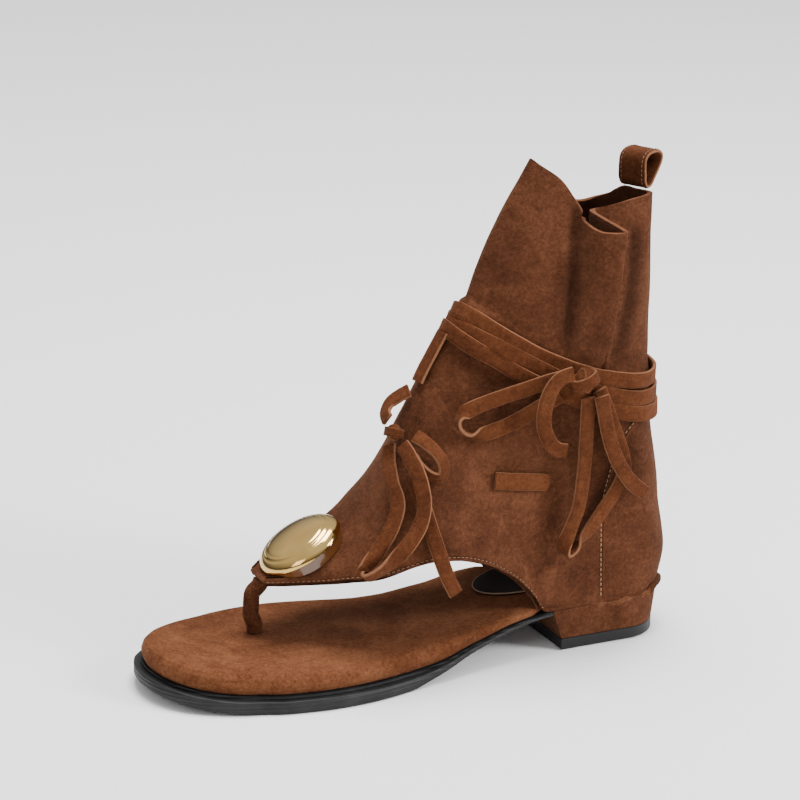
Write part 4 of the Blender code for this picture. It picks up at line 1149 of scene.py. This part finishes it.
def tab_piece(cover):
    """Suede strip on the quarter, rounded at its rear end."""
    points = blend_rows(vectors(TAB_ROUTE), 5, False)
    count = len(points)
    widths = []
    for i in range(count):
        at = i / (count - 1)
        widths.append(min(1.0, math.sqrt(max(1 - max((at - 0.8) / 0.2, 0.0) ** 2, 0.02))))
    faces = [Vector(TAB_FACE)] * count
    tab = strap("side_strip", points, faces, TAB_WIDTH, STRAP * 0.8, False, cover, widths=widths)
    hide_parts("side_tab")
    return tab


def knot_piece(name, cover, turns):
    """Knot: the strap pulled round itself in crossing turns over a small core."""
    middle, sizes = KNOTS[name]
    middle, sizes = Vector(middle) * MM, Vector(sizes) * MM
    bm = bmesh.new()
    edges = []
    out = Vector((0, -1, 0)) if sizes.y < sizes.x else Vector((-0.95, 0.0, 0.3)).normalized()
    for tilt, squeeze, wide in turns:
        side = Vector((0, 0, 1)).cross(out).normalized()
        up = out.cross(side)
        along = side * math.cos(tilt) + up * math.sin(tilt)
        points, normals = [], []
        for i in range(28):
            turn = 2 * math.pi * i / 28
            way = along * math.cos(turn) + out * math.sin(turn)
            reach = 1 / math.sqrt(sum((w / (s * squeeze)) ** 2 for w, s in zip(way, sizes)))
            points.append(middle + way * (reach - 0.75 * MM))
            normals.append(way)
        strap_mesh(bm, points, normals, wide * MM, 1.5 * MM, True, edges)
    core = bmesh.ops.create_uvsphere(bm, u_segments=20, v_segments=12, radius=1.0)
    for vert in core["verts"]:
        vert.co = middle + Vector([c * s * 0.8 for c, s in zip(vert.co, sizes)])
        edges.append(0.0)
    item = finished(name + "_turns", bm, cover)
    paint(item, "edge", edges)
    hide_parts(name)
    return item


def cord_piece(name, cover):
    """Loop or end of a bow: a limp flat strap on its route."""
    near, far, turn, places = CORDS[name]
    points = blend_rows(vectors(places), 8, False)
    start = points[0]
    middle = sum(points, Vector()) / len(points)
    reach = max((point - start).length for point in points)
    faces = []
    for point in points:
        share = (point - start).length / reach
        outward = (point - middle).normalized() + Vector(near)
        face = Vector(near).lerp(Vector(far), share) if far else outward
        if turn:
            bend = min(max((share - LOOP_TURN_FROM) / (1 - LOOP_TURN_FROM), 0.0), 1.0)
            face = face.lerp(Vector(turn), bend * bend * (3 - 2 * bend))
        faces.append(face.normalized())
    item = strap(name + "_strap", points, faces, STRAP_WIDTH * 0.94, STRAP, False, cover)
    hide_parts(name)
    return item


def area_light(name, place, aim, size, power, colour=(1, 1, 1)):
    lamp = bpy.data.lights.new(name, "AREA")
    lamp.shape = "RECTANGLE"
    lamp.size, lamp.size_y = size
    lamp.energy = power
    lamp.color = colour
    item = bpy.data.objects.new(name, lamp)
    item.location = place
    item.rotation_euler = (Vector(aim) - Vector(place)).to_track_quat("-Z", "Y").to_euler()
    bpy.context.scene.collection.objects.link(item)


def studio():
    """Camera at the photograph's angle, pale floor and soft light."""
    camera = bpy.data.cameras.new("camera")
    camera.sensor_width = 36
    camera.lens = CAMERA_LENS
    item = bpy.data.objects.new("camera", camera)
    item.matrix_world = Matrix((
        *zip(CAMERA_RIGHT, CAMERA_UP, CAMERA_BACK, CAMERA_PLACE), (0, 0, 0, 1)))
    bpy.context.scene.collection.objects.link(item)
    bpy.context.scene.camera = item

    bm = bmesh.new()
    bmesh.ops.create_grid(bm, x_segments=1, y_segments=1, size=6)
    mesh = bpy.data.meshes.new("floor")
    bm.to_mesh(mesh)
    bm.free()
    floor = bpy.data.objects.new("floor", mesh)
    floor.location.z = -0.0002
    n = Nodes("floor")
    mesh.materials.append(n.set(Base_Color=(0.93, 0.93, 0.93, 1), Roughness=0.9, Specular_IOR_Level=0.1))
    bpy.context.scene.collection.objects.link(floor)

    world = bpy.data.worlds.new("studio")
    bpy.context.scene.world = world
    world.use_nodes = True
    tree = world.node_tree
    glow = tree.nodes.new("ShaderNodeTexCoord")
    split = tree.nodes.new("ShaderNodeSeparateXYZ")
    ramp = tree.nodes.new("ShaderNodeValToRGB")
    ramp.color_ramp.elements[0].position, ramp.color_ramp.elements[0].color = 0.08, (0.10, 0.10, 0.11, 1)
    ramp.color_ramp.elements[1].position, ramp.color_ramp.elements[1].color = 0.65, (1, 1, 1, 1)
    tree.links.new(glow.outputs["Generated"], split.inputs["Vector"])
    tree.links.new(split.outputs["Z"], ramp.inputs["Fac"])
    tree.links.new(ramp.outputs["Color"], tree.nodes["Background"].inputs["Color"])
    tree.nodes["Background"].inputs["Strength"].default_value = 0.95
    area_light("key", (1.05, -1.0, 0.85), (-0.03, 0, 0.08), (0.55, 0.55), 30)
    area_light("fill", (-1.1, -0.9, 0.6), (-0.05, 0, 0.1), (0.6, 0.6), 4)
    area_light("top", (0.05, 0.15, 1.7), (-0.05, 0, 0.1), (0.9, 0.9), 44)


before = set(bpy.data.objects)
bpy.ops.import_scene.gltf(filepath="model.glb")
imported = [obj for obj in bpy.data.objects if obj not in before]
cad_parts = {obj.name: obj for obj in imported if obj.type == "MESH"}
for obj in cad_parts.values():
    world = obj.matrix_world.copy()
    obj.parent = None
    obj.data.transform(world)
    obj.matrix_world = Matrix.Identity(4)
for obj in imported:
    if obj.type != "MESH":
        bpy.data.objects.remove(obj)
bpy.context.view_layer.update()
studio()

DARK, BROWN, LIGHT = (0.026, 0.0082, 0.0035), (0.074, 0.0250, 0.0108), (0.140, 0.053, 0.0250)
EDGE = (0.20, 0.088, 0.044)
cover = suede("suede", DARK, BROWN, LIGHT)
inside = suede("suede_inside", (0.022, 0.0075, 0.0032), (0.052, 0.018, 0.008), (0.085, 0.033, 0.015))
cut = suede("suede_cut", (0.055, 0.019, 0.0085), (0.118, 0.044, 0.020), (0.20, 0.085, 0.042))
straps = suede("suede_straps", (0.034, 0.010, 0.0037), (0.080, 0.0245, 0.009), (0.135, 0.046, 0.0185),
               edge=EDGE)
bed = suede("suede_bed", (0.034, 0.010, 0.0040), (0.098, 0.032, 0.0125), (0.185, 0.072, 0.032), 1.15)
thread = plain_looks("thread", (0.34, 0.20, 0.115), 0.7)
thread_dark = plain_looks("thread_dark", (0.16, 0.075, 0.035), 0.7)
pad_looks = plain_looks("heel_pad", (0.010, 0.006, 0.0045), 0.75, Specular_IOR_Level=0.2)
pad_edge = plain_looks("heel_pad_edge", (0.20, 0.12, 0.07), 0.6)
rubber = ribbed_rubber()
lift_rubber = plain_looks("lift_rubber", (0.006, 0.006, 0.0065), 0.5, Specular_IOR_Level=0.3)
gold = gold_metal()
amber = plain_looks("amber", (0.09, 0.032, 0.008), 0.18, Coat_Weight=0.6)

upper_piece(cover, inside, cut)
sole_pieces(rubber, bed, pad_looks, pad_edge)
heel_pieces(cover, lift_rubber)
post_piece(cover)
ornament_pieces(gold, amber)
ankle_pieces(straps)
loop_piece(straps, thread_dark)
tab_piece(straps)
ankle_knot = knot_piece("ankle_knot", straps, ((0.35, 1.0, 5.4), (1.25, 0.93, 5.0)))
instep_knot = knot_piece("instep_knot", straps, ((0.2, 1.0, 4.0), (1.3, 0.92, 3.6)))
tie = cord_piece("instep_tie", straps)

cord_piece("ankle_loop_left", straps)
cord_piece("ankle_curl", straps)
cord_piece("ankle_loop_down", straps)
cord_piece("ankle_end", straps)
cord_piece("instep_loop_long", straps)
cord_piece("instep_loop_short", straps)
cord_piece("instep_end", straps)

for side in (-1, 1):
    points, normals = cut_out_places(side, EDGE_INSET)
    stitches("cut_out_stitches_%d" % (side + 1), points, normals, 2.2 * MM, 1.5 * MM, 0.18 * MM,
             thread_dark)
    heights = [(SEAM_LOW + SEAM_RISE * i / SEAM_ROWS) * MM for i in range(SEAM_ROWS + 1)]
    points, normals = zip(*(on_side(side, seam_x(z) - STITCH_INSET, z) for z in heights))
    stitches("heel_seam_stitches_%d" % (side + 1), points, normals, 2.3 * MM, 1.6 * MM, 0.2 * MM, thread)
    back = [on_side(side, seam_x(p.z), p.z) for p in points]
    strap("quarter_edge_%d" % (side + 1), [p + n * 0.05 * MM for p, n in back], [n for p, n in back],
          0.9 * MM, 0.7 * MM, False, straps)
